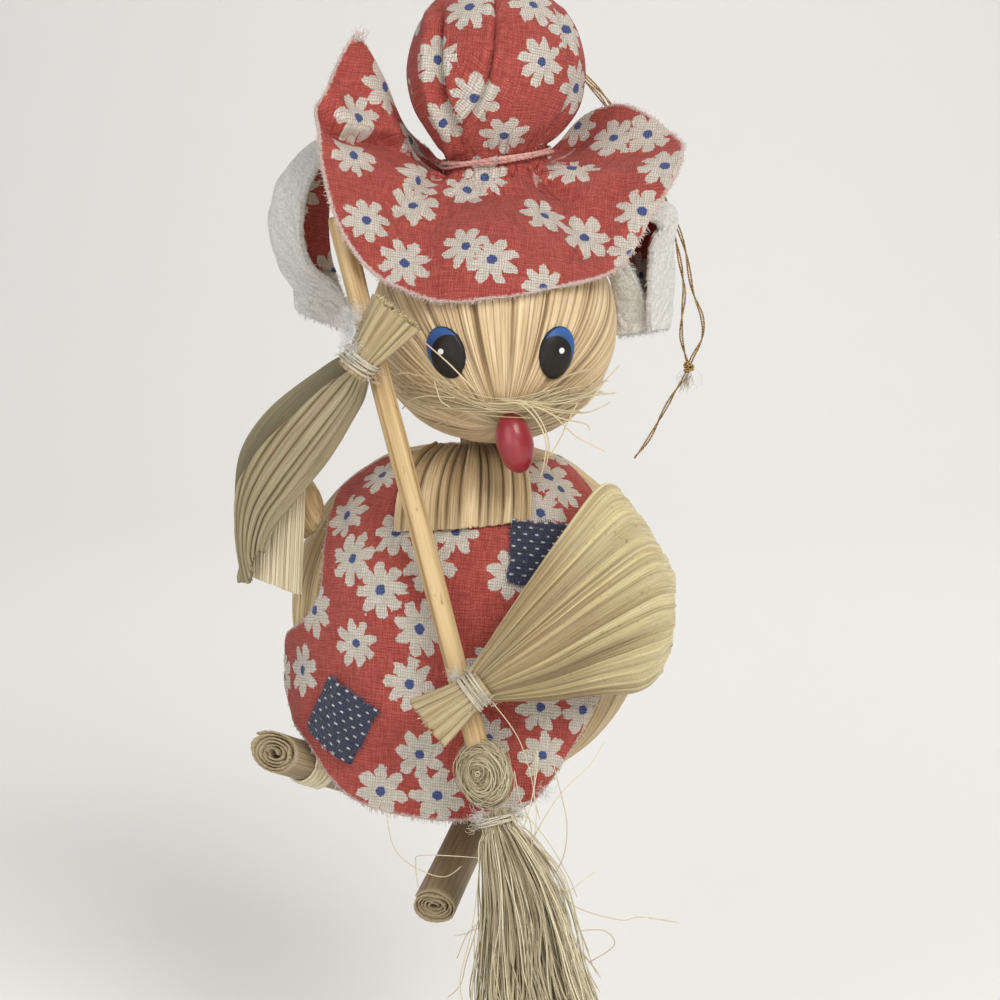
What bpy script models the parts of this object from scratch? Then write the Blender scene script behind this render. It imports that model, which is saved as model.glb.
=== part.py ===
"""Corn husk doll with a broom: a hanging ornament of husk, cotton print, fleece and sisal.

The origin is the point where the gold loop is sewn through the crown of the hat. The doll
looks along -Y, +Z is up, and left and right are the viewer's.
"""

import math
import random

import bmesh
import bpy
from mathutils import Matrix, Vector

mm = 0.001

# Hat
crown_radius = 12.6 * mm
crown_stuffing_slack = 1.2 * mm
loop_tilt = math.radians(25)
cloth_thickness = 0.45 * mm
hat_neck_radius = 7.2 * mm
hat_neck_drop = 11.9 * mm
hat_neck_forward = 0.6 * mm
hat_neck_height = 3.8 * mm
crown_fold_depth = 0.5 * mm
crown_folds = 11
brim_reach = 24 * mm
brim_fold_depth = 0.9 * mm
brim_folds = 9

# Head
head_radius = 17 * mm
head_clearance = 5.8 * mm
head_forward = 6 * mm
head_left = 0.3 * mm
husk_thickness = 0.8 * mm
muzzle_reach = 2.8 * mm
muzzle_azimuth = math.radians(4)
muzzle_polar = math.radians(127)
muzzle_spread = math.radians(24)
head_chin_share = 0.08
eye_left_turns = (math.radians(-22), math.radians(96.5), math.radians(22))
eye_right_turns = (math.radians(29.5), math.radians(97), math.radians(-12))
eye_half_width = 2.7 * mm
eye_half_height = 3.85 * mm
sticker_thickness = 0.6 * mm
bead_half_width = 2.5 * mm
bead_half_length = 4.2 * mm
bead_tilt = math.radians(12)
bead_offset_share = 1.04
bead_turns = (math.radians(9), math.radians(128))
whisker_radius = 0.9 * mm
ear_reach_share = 1.176
felt_thickness = 1 * mm
lining_thickness = 0.4 * mm

# Body
body_radius = 25.8 * mm
neck_length = 2.84 * mm
body_back = 6 * mm
body_left = 3.3 * mm
body_top_share = 0.1
flattening_spread = math.radians(25)
neck_radius = 3.3 * mm
collar_pleats = 11
collar_start_turn = math.radians(22)
collar_end_turns = (math.radians(57), math.radians(49))
collar_left_turns = (math.radians(-50), math.radians(-27))
collar_right_turns = (math.radians(50), math.radians(22))
collar_thickness = 0.4 * mm
collar_pleat_depth = 0.35 * mm
apron_flare = 2.2 * mm
apron_wave = 0.8 * mm
patch_half_side = 4.3 * mm
patch_left_place = (math.radians(-38.5), -0.42, math.radians(-24))
patch_right_place = (math.radians(24), 0.47, math.radians(-10))

# Arms and broom
wrist_radius = 2.2 * mm
wrist_length = 3.2 * mm
hand_length = 7.4 * mm
hand_half_width = 3.7 * mm
hand_half_depth = 1.7 * mm
sleeve_thickness = 0.8 * mm
sleeve_pleats = 7
fan_pleats = 12
pleat_depth = 0.3 * mm
upper_arm_half_height = 5 * mm
upper_arm_half_depth = 2.2 * mm
stick_radius = 1.5 * mm
bun_half_width = 4 * mm
bun_half_length = 4.9 * mm
brush_neck_radius = 2.4 * mm
brush_neck_height = 2.6 * mm
brush_length = 33 * mm
brush_end_radius = 9 * mm
strands_per_side = 10
brush_droop_share = 0.45
strand_drift_share = 0.25

# Legs
leg_left_half_width = 4 * mm
leg_left_half_height = 2.9 * mm
leg_right_half_width = 3.2 * mm
leg_right_half_height = 2.4 * mm
roll_turns = 2
wrap_thickness = 0.4 * mm
wrap_width = 3.4 * mm

# Threads and clearances
tie_thread = 0.5 * mm
neck_thread = 0.3 * mm
turn_gap = 0.46 * mm
cord_diameter = 0.6 * mm
knot_radius = 1.2 * mm
seat_gap = 0.3 * mm
overrun = 2 * mm

# Facets
loop_points = 24
round_segments = 24

CROWN = Vector((0, -math.sin(loop_tilt), -math.cos(loop_tilt))) * crown_radius
HAT_NECK = CROWN + Vector((0, -hat_neck_forward, -hat_neck_drop))
HEAD = CROWN + Vector((-head_left, -head_forward, -hat_neck_drop - head_clearance - head_radius))
NECK_TOP = HEAD + Vector((0, 0, -head_radius * (1 - head_chin_share)))
BODY_TOP = NECK_TOP + Vector((-body_left, body_back, -neck_length))
BODY = BODY_TOP - Vector((0, 0, body_radius * (1 - body_top_share)))
EAR_REACH = head_radius * ear_reach_share

# The brim's edge, clockwise from the front, in shares of its reach from the hat's neck
brim_edge_shares = [
    (-0.03, -0.93, -0.74), (-0.31, -0.9, -0.75), (-0.53, -0.9, -0.68), (-0.7, -0.87, -0.58),
    (-0.84, -0.83, -0.41), (-0.94, -0.72, -0.19), (-1.0, -0.56, 0.07), (-1.01, -0.43, 0.26),
    (-0.92, -0.31, 0.51), (-0.79, -0.23, 0.69), (-0.64, -0.1, 0.45), (-0.55, 0.11, 0.2),
    (-0.4, 0.3, 0.02), (-0.2, 0.48, -0.2), (0.05, 0.52, -0.26), (0.3, 0.48, -0.06),
    (0.5, 0.42, 0.2), (0.7, 0.28, 0.3), (0.87, 0.15, 0.25), (1.03, 0.02, 0.13),
    (1.08, -0.14, 0.05), (1.01, -0.31, -0.13), (0.88, -0.43, -0.33), (0.76, -0.56, -0.52),
    (0.62, -0.68, -0.62), (0.37, -0.83, -0.67),
]

# Ear guide lines from root to tip, in shares of the ears' reach from the head's centre
ear_left_shares = [
    [(-0.555, 0.037, 0.667), (-0.88, 0.1, 1.02), (-1.09, 0.2, 1.19), (-1.29, 0.15, 0.96), (-1.35, 0.15, 0.68),
     (-1.29, 0.15, 0.42), (-1.12, 0.2, 0.24), (-1.01, 0.2, 0.08), (-1.02, 0.2, -0.07)],
    [(-0.541, 0.14, 0.664), (-0.95, 0.3, 1.1), (-1.21, 0.4, 1.24), (-1.49, 0.4, 0.99), (-1.57, 0.4, 0.66),
     (-1.51, 0.4, 0.38), (-1.4, 0.35, 0.21), (-1.39, 0.3, 0.06), (-1.34, 0.3, -0.08)],
    [(-0.52, 0.274, 0.639), (-0.85, 0.5, 1.0), (-1.06, 0.65, 1.16), (-1.18, 0.7, 0.93), (-1.21, 0.7, 0.64),
     (-1.18, 0.65, 0.36), (-1.1, 0.55, 0.19), (-1.05, 0.5, 0.04), (-1.05, 0.45, -0.09)],
]
ear_right_shares = [
    [(0.66, 0.0, 0.64), (0.93, 0.15, 0.61), (0.92, 0.1, 0.43), (0.99, 0.1, 0.16), (1.0, 0.15, -0.07)],
    [(0.67, 0.16, 0.64), (0.84, 0.3, 0.64), (0.82, 0.3, 0.41), (0.86, 0.3, 0.14), (0.89, 0.3, -0.11)],
    [(0.66, 0.36, 0.72), (1.05, 0.62, 0.66), (1.05, 0.65, 0.38), (1.05, 0.6, 0.11), (1.05, 0.5, -0.12)],
    [(0.57, 0.16, 0.8), (1.21, 0.3, 0.81), (1.24, 0.3, 0.53), (1.25, 0.3, 0.21), (1.23, 0.3, -0.06)],
    [(0.56, 0.0, 0.79), (1.12, 0.15, 0.7), (1.1, 0.1, 0.51), (1.08, 0.1, 0.16), (1.09, 0.15, -0.06)],
]
ear_left_root_share = (-0.6, 0.16, 0.73)
ear_right_root_share = (0.64, 0.16, 0.73)

# Arm guide lines past the wrist, in shares of the body's radius from the body's centre
sleeve_left_shares = [
    [(-0.79, -0.83, 1.44), (-1.05, -0.72, 1.23), (-1.21, -0.6, 1.0), (-1.26, -0.5, 0.76),
     (-1.25, -0.45, 0.5), (-1.22, -0.41, 0.24)],
    [(-0.7, -0.95, 1.35), (-0.89, -0.85, 1.12), (-1.06, -0.74, 0.88), (-1.16, -0.62, 0.67),
     (-1.19, -0.53, 0.44), (-1.16, -0.51, 0.25)],
    [(-0.59, -0.83, 1.25), (-0.75, -0.72, 0.97), (-0.93, -0.64, 0.74), (-1.06, -0.58, 0.57),
     (-1.11, -0.54, 0.4), (-1.09, -0.5, 0.24)],
]
flap_left_shares = [
    [(-1.12, -0.38, 0.79), (-1.19, -0.35, 0.52), (-1.21, -0.35, 0.27)],
    [(-1.0, -0.46, 0.86), (-1.04, -0.47, 0.54), (-1.06, -0.46, 0.22)],
    [(-0.89, -0.47, 0.86), (-0.9, -0.51, 0.54), (-0.92, -0.49, 0.17)],
]
upper_arm_left_shares = [(-0.81, -0.42, 0.69), (-0.9, -0.37, 0.68), (-1.03, -0.32, 0.63), (-1.12, -0.29, 0.58)]
upper_arm_size_shares = [0.6, 1, 1, 0.55]
fan_right_shares = [
    [(0.26, -1.32, 0.33), (0.47, -1.18, 0.61), (0.67, -0.95, 0.83), (0.77, -0.72, 0.8), (0.73, -0.49, 0.72),
     (0.71, -0.39, 0.72)],
    [(0.36, -1.5, 0.08), (0.67, -1.34, 0.24), (0.95, -1.03, 0.33), (1.07, -0.72, 0.28), (1.09, -0.4, 0.22),
     (1.07, -0.17, 0.17)],
    [(0.39, -1.32, -0.19), (0.68, -1.14, -0.21), (0.87, -0.87, -0.27), (0.99, -0.6, -0.27),
     (1.05, -0.37, -0.26), (1.07, -0.2, -0.25)],
]
stick_top_share = (-1.24, -0.588, 0.918)
broom_heel_share = (0.08, -1.34, -0.58)
wrist_left_drop_share = 0.82
wrist_left_side = -1.8 * mm
wrist_right_rise_share = 0.488
wrist_right_side = 1.9 * mm
hand_left_direction = Vector((0.6, -0.05, 0.8))
hand_right_direction = Vector((-0.81, -0.1, -0.58))

# Leg ends, in shares of the body's radius from the body's centre
leg_left_foot_share = (-1.06, -0.66, -0.655)
leg_left_hip_share = (-0.325, -0.16, -1.03)
leg_right_foot_share = (-0.19, -1.085, -1.38)
leg_right_hip_share = (0.08, -0.13, -1.065)
wrap_place_share = 0.74
roll_start_share = 0.35
roll_wall_share = 0.2

# The apron's side edges, top to hem, and its hem, left to right, as shares of the body's radius along the cloth
apron_left_turns = [-68, -70, -72, -64, -59, -55, -54, -60, -76, -77, -77]
apron_right_turns = [74, 70, 66, 62, 58, 55, 54, 53, 52, 51, 50]
apron_top_share = 1.06
apron_hem_shares = [-0.39, -0.5, -0.57, -0.7, -0.87, -0.97, -1.02, -1.02, -0.98, -0.84, -0.55, -0.32, -0.2]

# Whisker bundle: turns about the head and from its top, in degrees, and its width along the way
whisker_turns = [(-50, 107), (-30, 116), (-12, 119), (5, 112.5), (25, 117.5), (46, 117), (68, 114)]
whisker_width_shares = [0.45, 0.7, 0.9, 1, 0.9, 0.7, 0.45]

# The gold thread's two strands and its loose end, in millimetres from the hanging point
strand_right_route = [
    (0, 1.45, 0), (1.3, 1.7, 0.2), (3.35, 2.3, -0.9), (6.7, 3.1, -3.4), (9.65, 3.2, -7.4), (11.6, 3.0, -11.1), (15.66, 4.9, -15.46), (20.71, 7.4, -22.98), (24.75, 8.4, -30.67), (26.3, 8.4, -34.01), (27.55, 8.4, -37.79), (28.6, 8.4, -43.33), (30.01, 7.9, -47.24),
    (30.05, 7.6, -50.2), (28.7, 7.4, -53.0),
]
strand_left_route = [
    (0, 2.35, 0), (1.3, 2.65, 0.2), (3.2, 3.3, -0.9), (6.4, 4.2, -3.4), (9.3, 4.4, -7.3), (11.2, 4.2, -11.4), (15.2, 5.9, -15.9), (20.2, 8.4, -23.5), (24.3, 9.4, -31.4), (25.7, 9.4, -34.6), (26.6, 9.2, -38.4), (27.4, 8.8, -43.3), (27.1, 8.1, -47.2),
    (27.0, 7.6, -50.2), (27.6, 7.4, -52.8),
]
cord_tail_route = [
    (27.5, 7.4, -56.05), (26.0, 7.1, -58.3), (24.4, 6.6, -61.1), (22.2, 6.0, -65.1), (20.1, 5.4, -67.8),
]
knot_place = (28.05, 7.4, -54.55)
cord_step = 1.7 * mm


def clear_scene():
    for item in list(bpy.data.objects):
        bpy.data.objects.remove(item)


def material(name, colour, roughness, metallic=0):
    made = bpy.data.materials.new(name)
    made.use_nodes = True
    shader = made.node_tree.nodes["Principled BSDF"]
    shader.inputs["Base Color"].default_value = (*colour, 1)
    shader.inputs["Roughness"].default_value = roughness
    shader.inputs["Metallic"].default_value = metallic
    return made


def add_object(name, mesh, finish, parent=None):
    item = bpy.data.objects.new(name, mesh)
    bpy.context.collection.objects.link(item)
    item.data.materials.append(finish)
    if parent:
        item.parent = parent
        item.matrix_parent_inverse = Matrix.Translation(-parent.location)
    return item


def add_mesh(name, points, faces, finish, parent=None):
    mesh = bpy.data.meshes.new(name)
    mesh.from_pydata([tuple(point) for point in points], [], faces)
    mesh.update()
    mesh.shade_smooth()
    return add_object(name, mesh, finish, parent)


def face_outwards(item):
    shape = bmesh.new()
    shape.from_mesh(item.data)
    bmesh.ops.recalc_face_normals(shape, faces=shape.faces)
    shape.to_mesh(item.data)
    shape.free()


def thicken(item, thickness, offset=0.0):
    wall = item.modifiers.new("Wall", "SOLIDIFY")
    wall.thickness = thickness
    wall.offset = offset


def scaled(shares, size, origin):
    return origin + Vector(shares) * size


def smooth_point(points, place, closed=False):
    """A point of the Catmull-Rom curve through the points, place counted in spans."""
    count = len(points)
    span = math.floor(place)
    if not closed:
        span = min(max(span, 0), count - 2)
    part = place - span

    def at(index):
        if closed:
            return points[index % count]
        return points[min(max(index, 0), count - 1)]

    before, start, end, after = at(span - 1), at(span), at(span + 1), at(span + 2)
    rise = (end - before) * 0.5
    fall = (after - start) * 0.5
    square, cube = part * part, part ** 3
    return (start * (2 * cube - 3 * square + 1) + rise * (cube - 2 * square + part)
            + end * (3 * square - 2 * cube) + fall * (cube - square))


def smooth_value(values, share):
    line = [Vector((value, 0, 0)) for value in values]
    return smooth_point(line, share * (len(values) - 1)).x


def blend(first, second, share):
    return first + (second - first) * share


def surface_through(lines, rows, columns):
    """Rows of points on the smooth surface through guide lines that run side by side."""
    grid = []
    for row in range(rows + 1):
        place = row / rows * (len(lines[0]) - 1)
        across = [smooth_point(line, place) for line in lines]
        grid.append([smooth_point(across, column / columns * (len(lines) - 1)) for column in range(columns + 1)])
    return grid


def grid_normal(grid, row, column):
    down = grid[min(row + 1, len(grid) - 1)][column] - grid[max(row - 1, 0)][column]
    last = len(grid[row]) - 1
    across = grid[row][min(column + 1, last)] - grid[row][max(column - 1, 0)]
    return down.cross(across).normalized()


def moved_along_normals(grid, distance):
    return [[point + grid_normal(grid, row, column) * distance for column, point in enumerate(points)]
            for row, points in enumerate(grid)]


def sheet(name, grid, thickness, finish, parent=None, closed=False):
    """A thin closed body on a grid of points; a closed one joins its first and last columns."""
    width = len(grid[0])
    points = [point for line in grid for point in line]
    faces = []
    for row in range(len(grid) - 1):
        for column in range(width if closed else width - 1):
            beside = (column + 1) % width
            faces.append((row * width + column, row * width + beside,
                          (row + 1) * width + beside, (row + 1) * width + column))
    item = add_mesh(name, points, faces, finish, parent)
    thicken(item, thickness)
    return item


def pleated_sheet(name, grid, pleats, depth, thickness, finish):
    """A closed body on a grid: pleats along the side that the grid's normals leave, its back smooth."""
    rows, width = len(grid), len(grid[0])
    front, back = [], []
    for row, line in enumerate(grid):
        for column, point in enumerate(line):
            normal = grid_normal(grid, row, column)
            ridge = 0.5 - 0.5 * math.cos(2 * math.pi * pleats * column / (width - 1))
            front.append(point + normal * (thickness / 2 + depth * ridge))
            back.append(point - normal * thickness / 2)
    behind = rows * width
    faces = []
    for row in range(rows - 1):
        for column in range(width - 1):
            cell = [row * width + column, row * width + column + 1,
                    (row + 1) * width + column + 1, (row + 1) * width + column]
            faces.append(tuple(cell))
            faces.append(tuple(behind + index for index in reversed(cell)))
    rim = [column for column in range(width)]
    rim += [row * width + width - 1 for row in range(1, rows)]
    rim += [(rows - 1) * width + column for column in range(width - 2, -1, -1)]
    rim += [row * width for row in range(rows - 2, 0, -1)]
    for index, start in enumerate(rim):
        end = rim[(index + 1) % len(rim)]
        faces.append((start, behind + start, behind + end, end))
    item = add_mesh(name, front + back, faces, finish)
    face_outwards(item)
    return item


def bag(name, rings, pole, thickness, finish):
    """A thin bag: rings of points that close at a pole and stay open at the other end."""
    width = len(rings[0])
    points = [pole] + [point for ring in rings for point in ring]
    faces = [(0, 1 + column, 1 + (column + 1) % width) for column in range(width)]
    for row in range(len(rings) - 1):
        first = 1 + row * width
        for column in range(width):
            beside = (column + 1) % width
            faces.append((first + column, first + width + column, first + width + beside, first + beside))
    item = add_mesh(name, points, faces, finish)
    face_outwards(item)
    thicken(item, thickness, -1)
    return item


def loft(name, rings, finish, parent=None):
    """A solid through closed rings of points, capped at both ends."""
    width = len(rings[0])
    points = [point for ring in rings for point in ring]
    faces = []
    for row in range(len(rings) - 1):
        for column in range(width):
            beside = (column + 1) % width
            faces.append((row * width + column, row * width + beside,
                          (row + 1) * width + beside, (row + 1) * width + column))
    faces.append(tuple(range(width)))
    faces.append(tuple((len(rings) - 1) * width + column for column in range(width)))
    item = add_mesh(name, points, faces, finish, parent)
    face_outwards(item)
    return item


def frame_along(direction, side=None):
    """Two unit vectors square to a direction, the first as level as it can be."""
    ahead = direction.normalized()
    level = side or Vector((0, 0, 1)).cross(ahead)
    if not level.length:
        level = Vector((1, 0, 0))
    level = (level - ahead * level.dot(ahead)).normalized()
    return level, ahead.cross(level)


def ring_at(centre, level, upright, half_width, half_height, segments, lobes=0, depth=0.0):
    ring = []
    for index in range(segments):
        angle = 2 * math.pi * index / segments
        size = 1 + depth * math.cos(lobes * angle)
        ring.append(centre + level * (half_width * size * math.cos(angle))
                    + upright * (half_height * size * math.sin(angle)))
    return ring


def tube(name, points, diameter, finish, parent=None, resolution=1):
    """A round tube of one smooth run with filled caps."""
    curve = bpy.data.curves.new(name, "CURVE")
    curve.dimensions = "3D"
    curve.bevel_depth = diameter / 2
    curve.bevel_resolution = resolution
    curve.use_fill_caps = True
    line = curve.splines.new("POLY")
    line.points.add(len(points) - 1)
    for target, point in zip(line.points, points):
        target.co = (*point, 1)
    return add_object(name, curve, finish, parent)


def least_gap(points, diameter):
    """The least distance between the surfaces of turns, measured on the tube's points."""
    least = math.inf
    for first, point in enumerate(points):
        for second in range(first + loop_points // 2, len(points)):
            least = min(least, (points[second] - point).length)
    return least - diameter


def winding(name, centre, direction, radius, thread, turns, finish):
    """Turns of one thread round a neck, as one tube with straight ends."""
    level, upright = frame_along(direction)
    ahead = direction.normalized()
    pitch = thread + turn_gap
    points = []
    for index in range(turns * loop_points + 1):
        angle = 2 * math.pi * index / loop_points
        rise = pitch * (index / loop_points - turns / 2)
        points.append(centre + ahead * rise + level * (radius * math.cos(angle))
                      + upright * (radius * math.sin(angle)))
    start = points[0] + (points[0] - points[1]).normalized() * thread
    end = points[-1] + (points[-1] - points[-2]).normalized() * thread
    points = [start] + points + [end]
    print(f"{name}: least gap {least_gap(points, thread) / mm:.2f} mm")
    return tube(name, points, thread, finish)


def evenly_spaced(route, step):
    """Points a step apart on the smooth curve through a route given in millimetres."""
    guides = [Vector(point) * mm for point in route]
    fine = [smooth_point(guides, index / round_segments)
            for index in range((len(guides) - 1) * round_segments + 1)]
    length = sum((after - before).length for before, after in zip(fine, fine[1:]))
    spacing = length / round(length / step)
    points, travelled = [fine[0]], 0.0
    for before, after in zip(fine, fine[1:]):
        travelled += (after - before).length
        if travelled >= spacing * len(points) and after is not fine[-1]:
            points.append(after)
    points.append(fine[-1])
    return points


def around(centre, reach, azimuth, polar):
    """The point at a reach from a centre, turned from the front and from the top."""
    flat = math.sin(polar)
    return centre + Vector((flat * math.sin(azimuth), -flat * math.cos(azimuth), math.cos(polar))) * reach


def on_head(azimuth, polar, lift=0.0):
    """A point over the head's husk: a ball with a flattened chin, drawn out to a muzzle."""
    chin = math.exp(-((math.pi - polar) / flattening_spread) ** 2)
    toward = around(Vector(), 1, azimuth, polar)
    muzzle = around(Vector(), 1, muzzle_azimuth, muzzle_polar)
    drawn = math.exp(-(toward.angle(muzzle) / muzzle_spread) ** 2)
    reach = head_radius * (1 - head_chin_share * chin) + muzzle_reach * drawn
    return around(HEAD, reach + lift, azimuth, polar)


def on_body(azimuth, polar, lift=0.0):
    """A point over the body's husk: a ball that is flat under the neck."""
    flat = body_top_share * math.exp(-(polar / flattening_spread) ** 2)
    return around(BODY, body_radius * (1 - flat) + lift, azimuth, polar)


def apron_lift(azimuth, height):
    """How far the middle of the apron's cloth stands off the body; height runs up along the cloth."""
    lift = 1.5 * seat_gap + cloth_thickness / 2
    below = max(0.0, -height / body_radius)
    wave = 0.5 - 0.5 * math.cos(6 * azimuth + 1)
    return lift + below * (apron_flare + apron_wave * wave * 2)


def on_apron(azimuth, height, lift=0.0):
    """A point over the apron, which follows the body to its widest line and hangs below it."""
    lift += apron_lift(azimuth, height)
    if height >= 0:
        return on_body(azimuth, math.pi / 2 - height / body_radius, lift)
    return on_body(azimuth, math.pi / 2, lift) + Vector((0, 0, height))


def ball_mesh(name, shape, finish, segments=16, rings=9):
    """A closed ball whose points come from shape(azimuth, polar)."""
    points = [shape(0, 0)]
    for ring in range(1, rings):
        points += [shape(2 * math.pi * index / segments, math.pi * ring / rings) for index in range(segments)]
    points.append(shape(0, math.pi))
    faces = [(0, 1 + index, 1 + (index + 1) % segments) for index in range(segments)]
    for ring in range(rings - 2):
        first = 1 + ring * segments
        for index in range(segments):
            beside = (index + 1) % segments
            faces.append((first + index, first + segments + index, first + segments + beside, first + beside))
    last = 1 + (rings - 2) * segments
    faces += [(len(points) - 1, last + (index + 1) % segments, last + index) for index in range(segments)]
    item = add_mesh(name, points, faces, finish)
    face_outwards(item)
    return item


def crown_ring(polar, reach, columns):
    """A ring of the crown's cloth, drawn in by folds that deepen towards the tie."""
    fold = crown_fold_depth * (polar / math.pi) ** 2
    ring = []
    for angle in columns:
        dent = fold * (0.5 - 0.5 * math.cos(crown_folds * angle))
        ring.append(around(CROWN, reach - dent, angle, polar))
    return ring


def clear_of_head(point):
    """The point, moved out to where cloth can lie on the head."""
    off = point - HEAD
    least = head_radius + 2 * seat_gap + cloth_thickness / 2
    if off.length >= least:
        return point
    return HEAD + off.normalized() * least


def brim_rings(columns, rings):
    """The brim's rings from the hat's neck to its edge, with the column angles of the edge."""
    edge_points = [scaled(share, brim_reach, HAT_NECK) for share in brim_edge_shares]
    edge = [smooth_point(edge_points, len(edge_points) * column / columns, True) for column in range(columns)]
    angles = [math.atan2(point.x - HAT_NECK.x, HAT_NECK.y - point.y) for point in edge]
    start_level = HAT_NECK.z - hat_neck_height / 2
    result = []
    for ring in range(rings + 1):
        share = ring / rings
        line = []
        for end, angle in zip(edge, angles):
            start = around(Vector((HAT_NECK.x, HAT_NECK.y, start_level)), hat_neck_radius, angle, math.pi / 2)
            bend = blend(start, end, 0.5)
            bend.z = start.z + min(0.0, 0.2 * (end.z - start.z))
            point = blend(blend(start, bend, share), blend(bend, end, share), share)
            fold = brim_fold_depth * share * (1 - share) * 2 * math.cos(brim_folds * angle)
            line.append(clear_of_head(point + Vector((0, 0, fold))))
        result.append(line)
    return angles, result


def make_hat(cotton, thread, foam):
    columns, crown_rows, brim_rows = 34, 5, 6
    middle = crown_radius - cloth_thickness / 2
    angles, brim = brim_rings(columns, brim_rows)
    closing = math.pi - math.asin(hat_neck_radius / middle)
    rings = [crown_ring(closing * row / crown_rows, middle, angles) for row in range(1, crown_rows)]
    top = HAT_NECK + Vector((0, 0, hat_neck_height / 2))
    rings.append([around(top, hat_neck_radius, angle, math.pi / 2) for angle in angles])
    rings += brim
    pole = around(CROWN, middle, 0, 0)
    points = [pole] + [point for ring in rings for point in ring]
    faces = [(0, 1 + (column + 1) % columns, 1 + column) for column in range(columns)]
    for row in range(len(rings) - 1):
        first = 1 + row * columns
        for column in range(columns):
            beside = (column + 1) % columns
            faces.append((first + column, first + beside, first + columns + beside, first + columns + column))
    item = add_mesh("hat_cloth", points, faces, cotton)
    thicken(item, cloth_thickness)
    inside = crown_radius - cloth_thickness - crown_stuffing_slack
    ball_mesh("hat_core", lambda azimuth, polar: around(CROWN, inside, azimuth, polar), foam)
    reach = hat_neck_radius + cloth_thickness / 2 + seat_gap + tie_thread / 2
    winding("hat_tie", HAT_NECK, Vector((0, 0, 1)), reach, tie_thread, 2, thread)


def husk_bag(name, shape, open_top, finish, columns=22, rows=9):
    """A husk cover on a shape, open by a tenth of a half turn at its top or bottom."""
    closed_end = math.pi if open_top else 0.0
    turn = -1 if open_top else 1
    reach = math.pi * 0.94
    rings = []
    for row in range(1, rows + 1):
        polar = closed_end + turn * reach * row / rows
        rings.append([shape(2 * math.pi * column / columns, polar) for column in range(columns)])
    bag(name, rings, shape(0, closed_end), husk_thickness, finish)


def make_head(husk, foam):
    husk_bag("head_husk", on_head, False, husk)
    inset = -(husk_thickness + 3 * seat_gap)
    ball_mesh("head_core", lambda azimuth, polar: on_head(azimuth, polar, inset), foam)


def sticker(name, azimuth, polar, tilt, finish):
    """A thin oval that lies on the head's husk."""
    grid_rings, segments = 2, 18
    lift = seat_gap + sticker_thickness / 2
    points = [on_head(azimuth, polar, lift)]
    for ring in range(1, grid_rings + 1):
        for index in range(segments):
            angle = 2 * math.pi * index / segments
            across = eye_half_width * ring / grid_rings * math.cos(angle)
            along = eye_half_height * ring / grid_rings * math.sin(angle)
            side = across * math.cos(tilt) - along * math.sin(tilt)
            rise = across * math.sin(tilt) + along * math.cos(tilt)
            points.append(on_head(azimuth + side / (head_radius * math.sin(polar)), polar - rise / head_radius, lift))
    faces = [(0, 1 + index, 1 + (index + 1) % segments) for index in range(segments)]
    for ring in range(grid_rings - 1):
        first = 1 + ring * segments
        for index in range(segments):
            beside = (index + 1) % segments
            faces.append((first + index, first + segments + index, first + segments + beside, first + beside))
    item = add_mesh(name, points, faces, finish)
    thicken(item, sticker_thickness)


def make_face(sticker_finish, bead_finish, sisal):
    sticker("eye_left", *eye_left_turns, sticker_finish)
    sticker("eye_right", *eye_right_turns, sticker_finish)
    reach = head_radius + muzzle_reach + seat_gap + bead_half_width * bead_offset_share
    centre = around(HEAD, reach, *bead_turns)
    length = Vector((math.sin(bead_tilt), 0, -math.cos(bead_tilt))) * -1
    level, deep = frame_along(length, Vector((1, 0, 0)))

    def bead(azimuth, polar):
        spot = around(Vector(), 1, azimuth, polar)
        return (centre + level * spot.x * bead_half_width + deep * spot.y * bead_half_width
                + length * spot.z * bead_half_length)

    ball_mesh("nose_bead", bead, bead_finish, 16, 10)
    make_whiskers(sisal)


def make_whiskers(sisal):
    route = []
    for turn, width in zip(whisker_turns, whisker_width_shares):
        azimuth, polar = (math.radians(angle) for angle in turn)
        route.append(on_head(azimuth, polar, 1.4 * seat_gap + whisker_radius * width))
    rings = []
    stations = 12
    for index in range(stations + 1):
        place = index / stations * (len(route) - 1)
        centre = smooth_point(route, place)
        ahead = smooth_point(route, min(place + 0.1, len(route) - 1)) - smooth_point(route, max(place - 0.1, 0))
        radius = whisker_radius * smooth_value(whisker_width_shares, index / stations)
        level, upright = frame_along(ahead)
        rings.append(ring_at(centre, level, upright, radius, radius, 8))
    loft("whisker_bundle", rings, sisal)


def pivot(name, shares):
    """The empty on an ear's hinge, where its root meets the head."""
    item = bpy.data.objects.new(name, None)
    bpy.context.collection.objects.link(item)
    item.location = scaled(shares, EAR_REACH, HEAD)
    return item


def make_ear(side, shares, root, rows, columns, lined, felt, cotton):
    """A fleece ear folded to a gutter, with the lining in its upper part."""
    hinge = pivot(f"ear_{side}_pivot", root)
    lines = [[scaled(point, EAR_REACH, HEAD) for point in line] for line in shares]
    grid = surface_through(lines, rows, columns)
    sheet(f"ear_{side}_felt", grid, felt_thickness, felt, hinge)
    inside = moved_along_normals(grid, (felt_thickness / 2 + 1.6 * seat_gap + lining_thickness / 2))
    part = [line[lined] for line in inside[rows // 4:rows * 3 // 4]]
    sheet(f"ear_{side}_lining", part, lining_thickness, cotton, hinge)


def make_neck(husk, nylon):
    waist = blend(NECK_TOP, BODY_TOP, 0.5)
    half = neck_length / 2 - seat_gap
    up = Vector((0, 0, 1))
    level, upright = frame_along(up, Vector((1, 0, 0)))
    rings = [ring_at(waist + up * half * share, level, upright, neck_radius, neck_radius, round_segments)
             for share in (-1, 1)]
    loft("neck_husk", rings, husk)
    reach = neck_radius + seat_gap + neck_thread / 2
    winding("neck_tie", waist, up, reach, neck_thread, 2, nylon)


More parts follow.
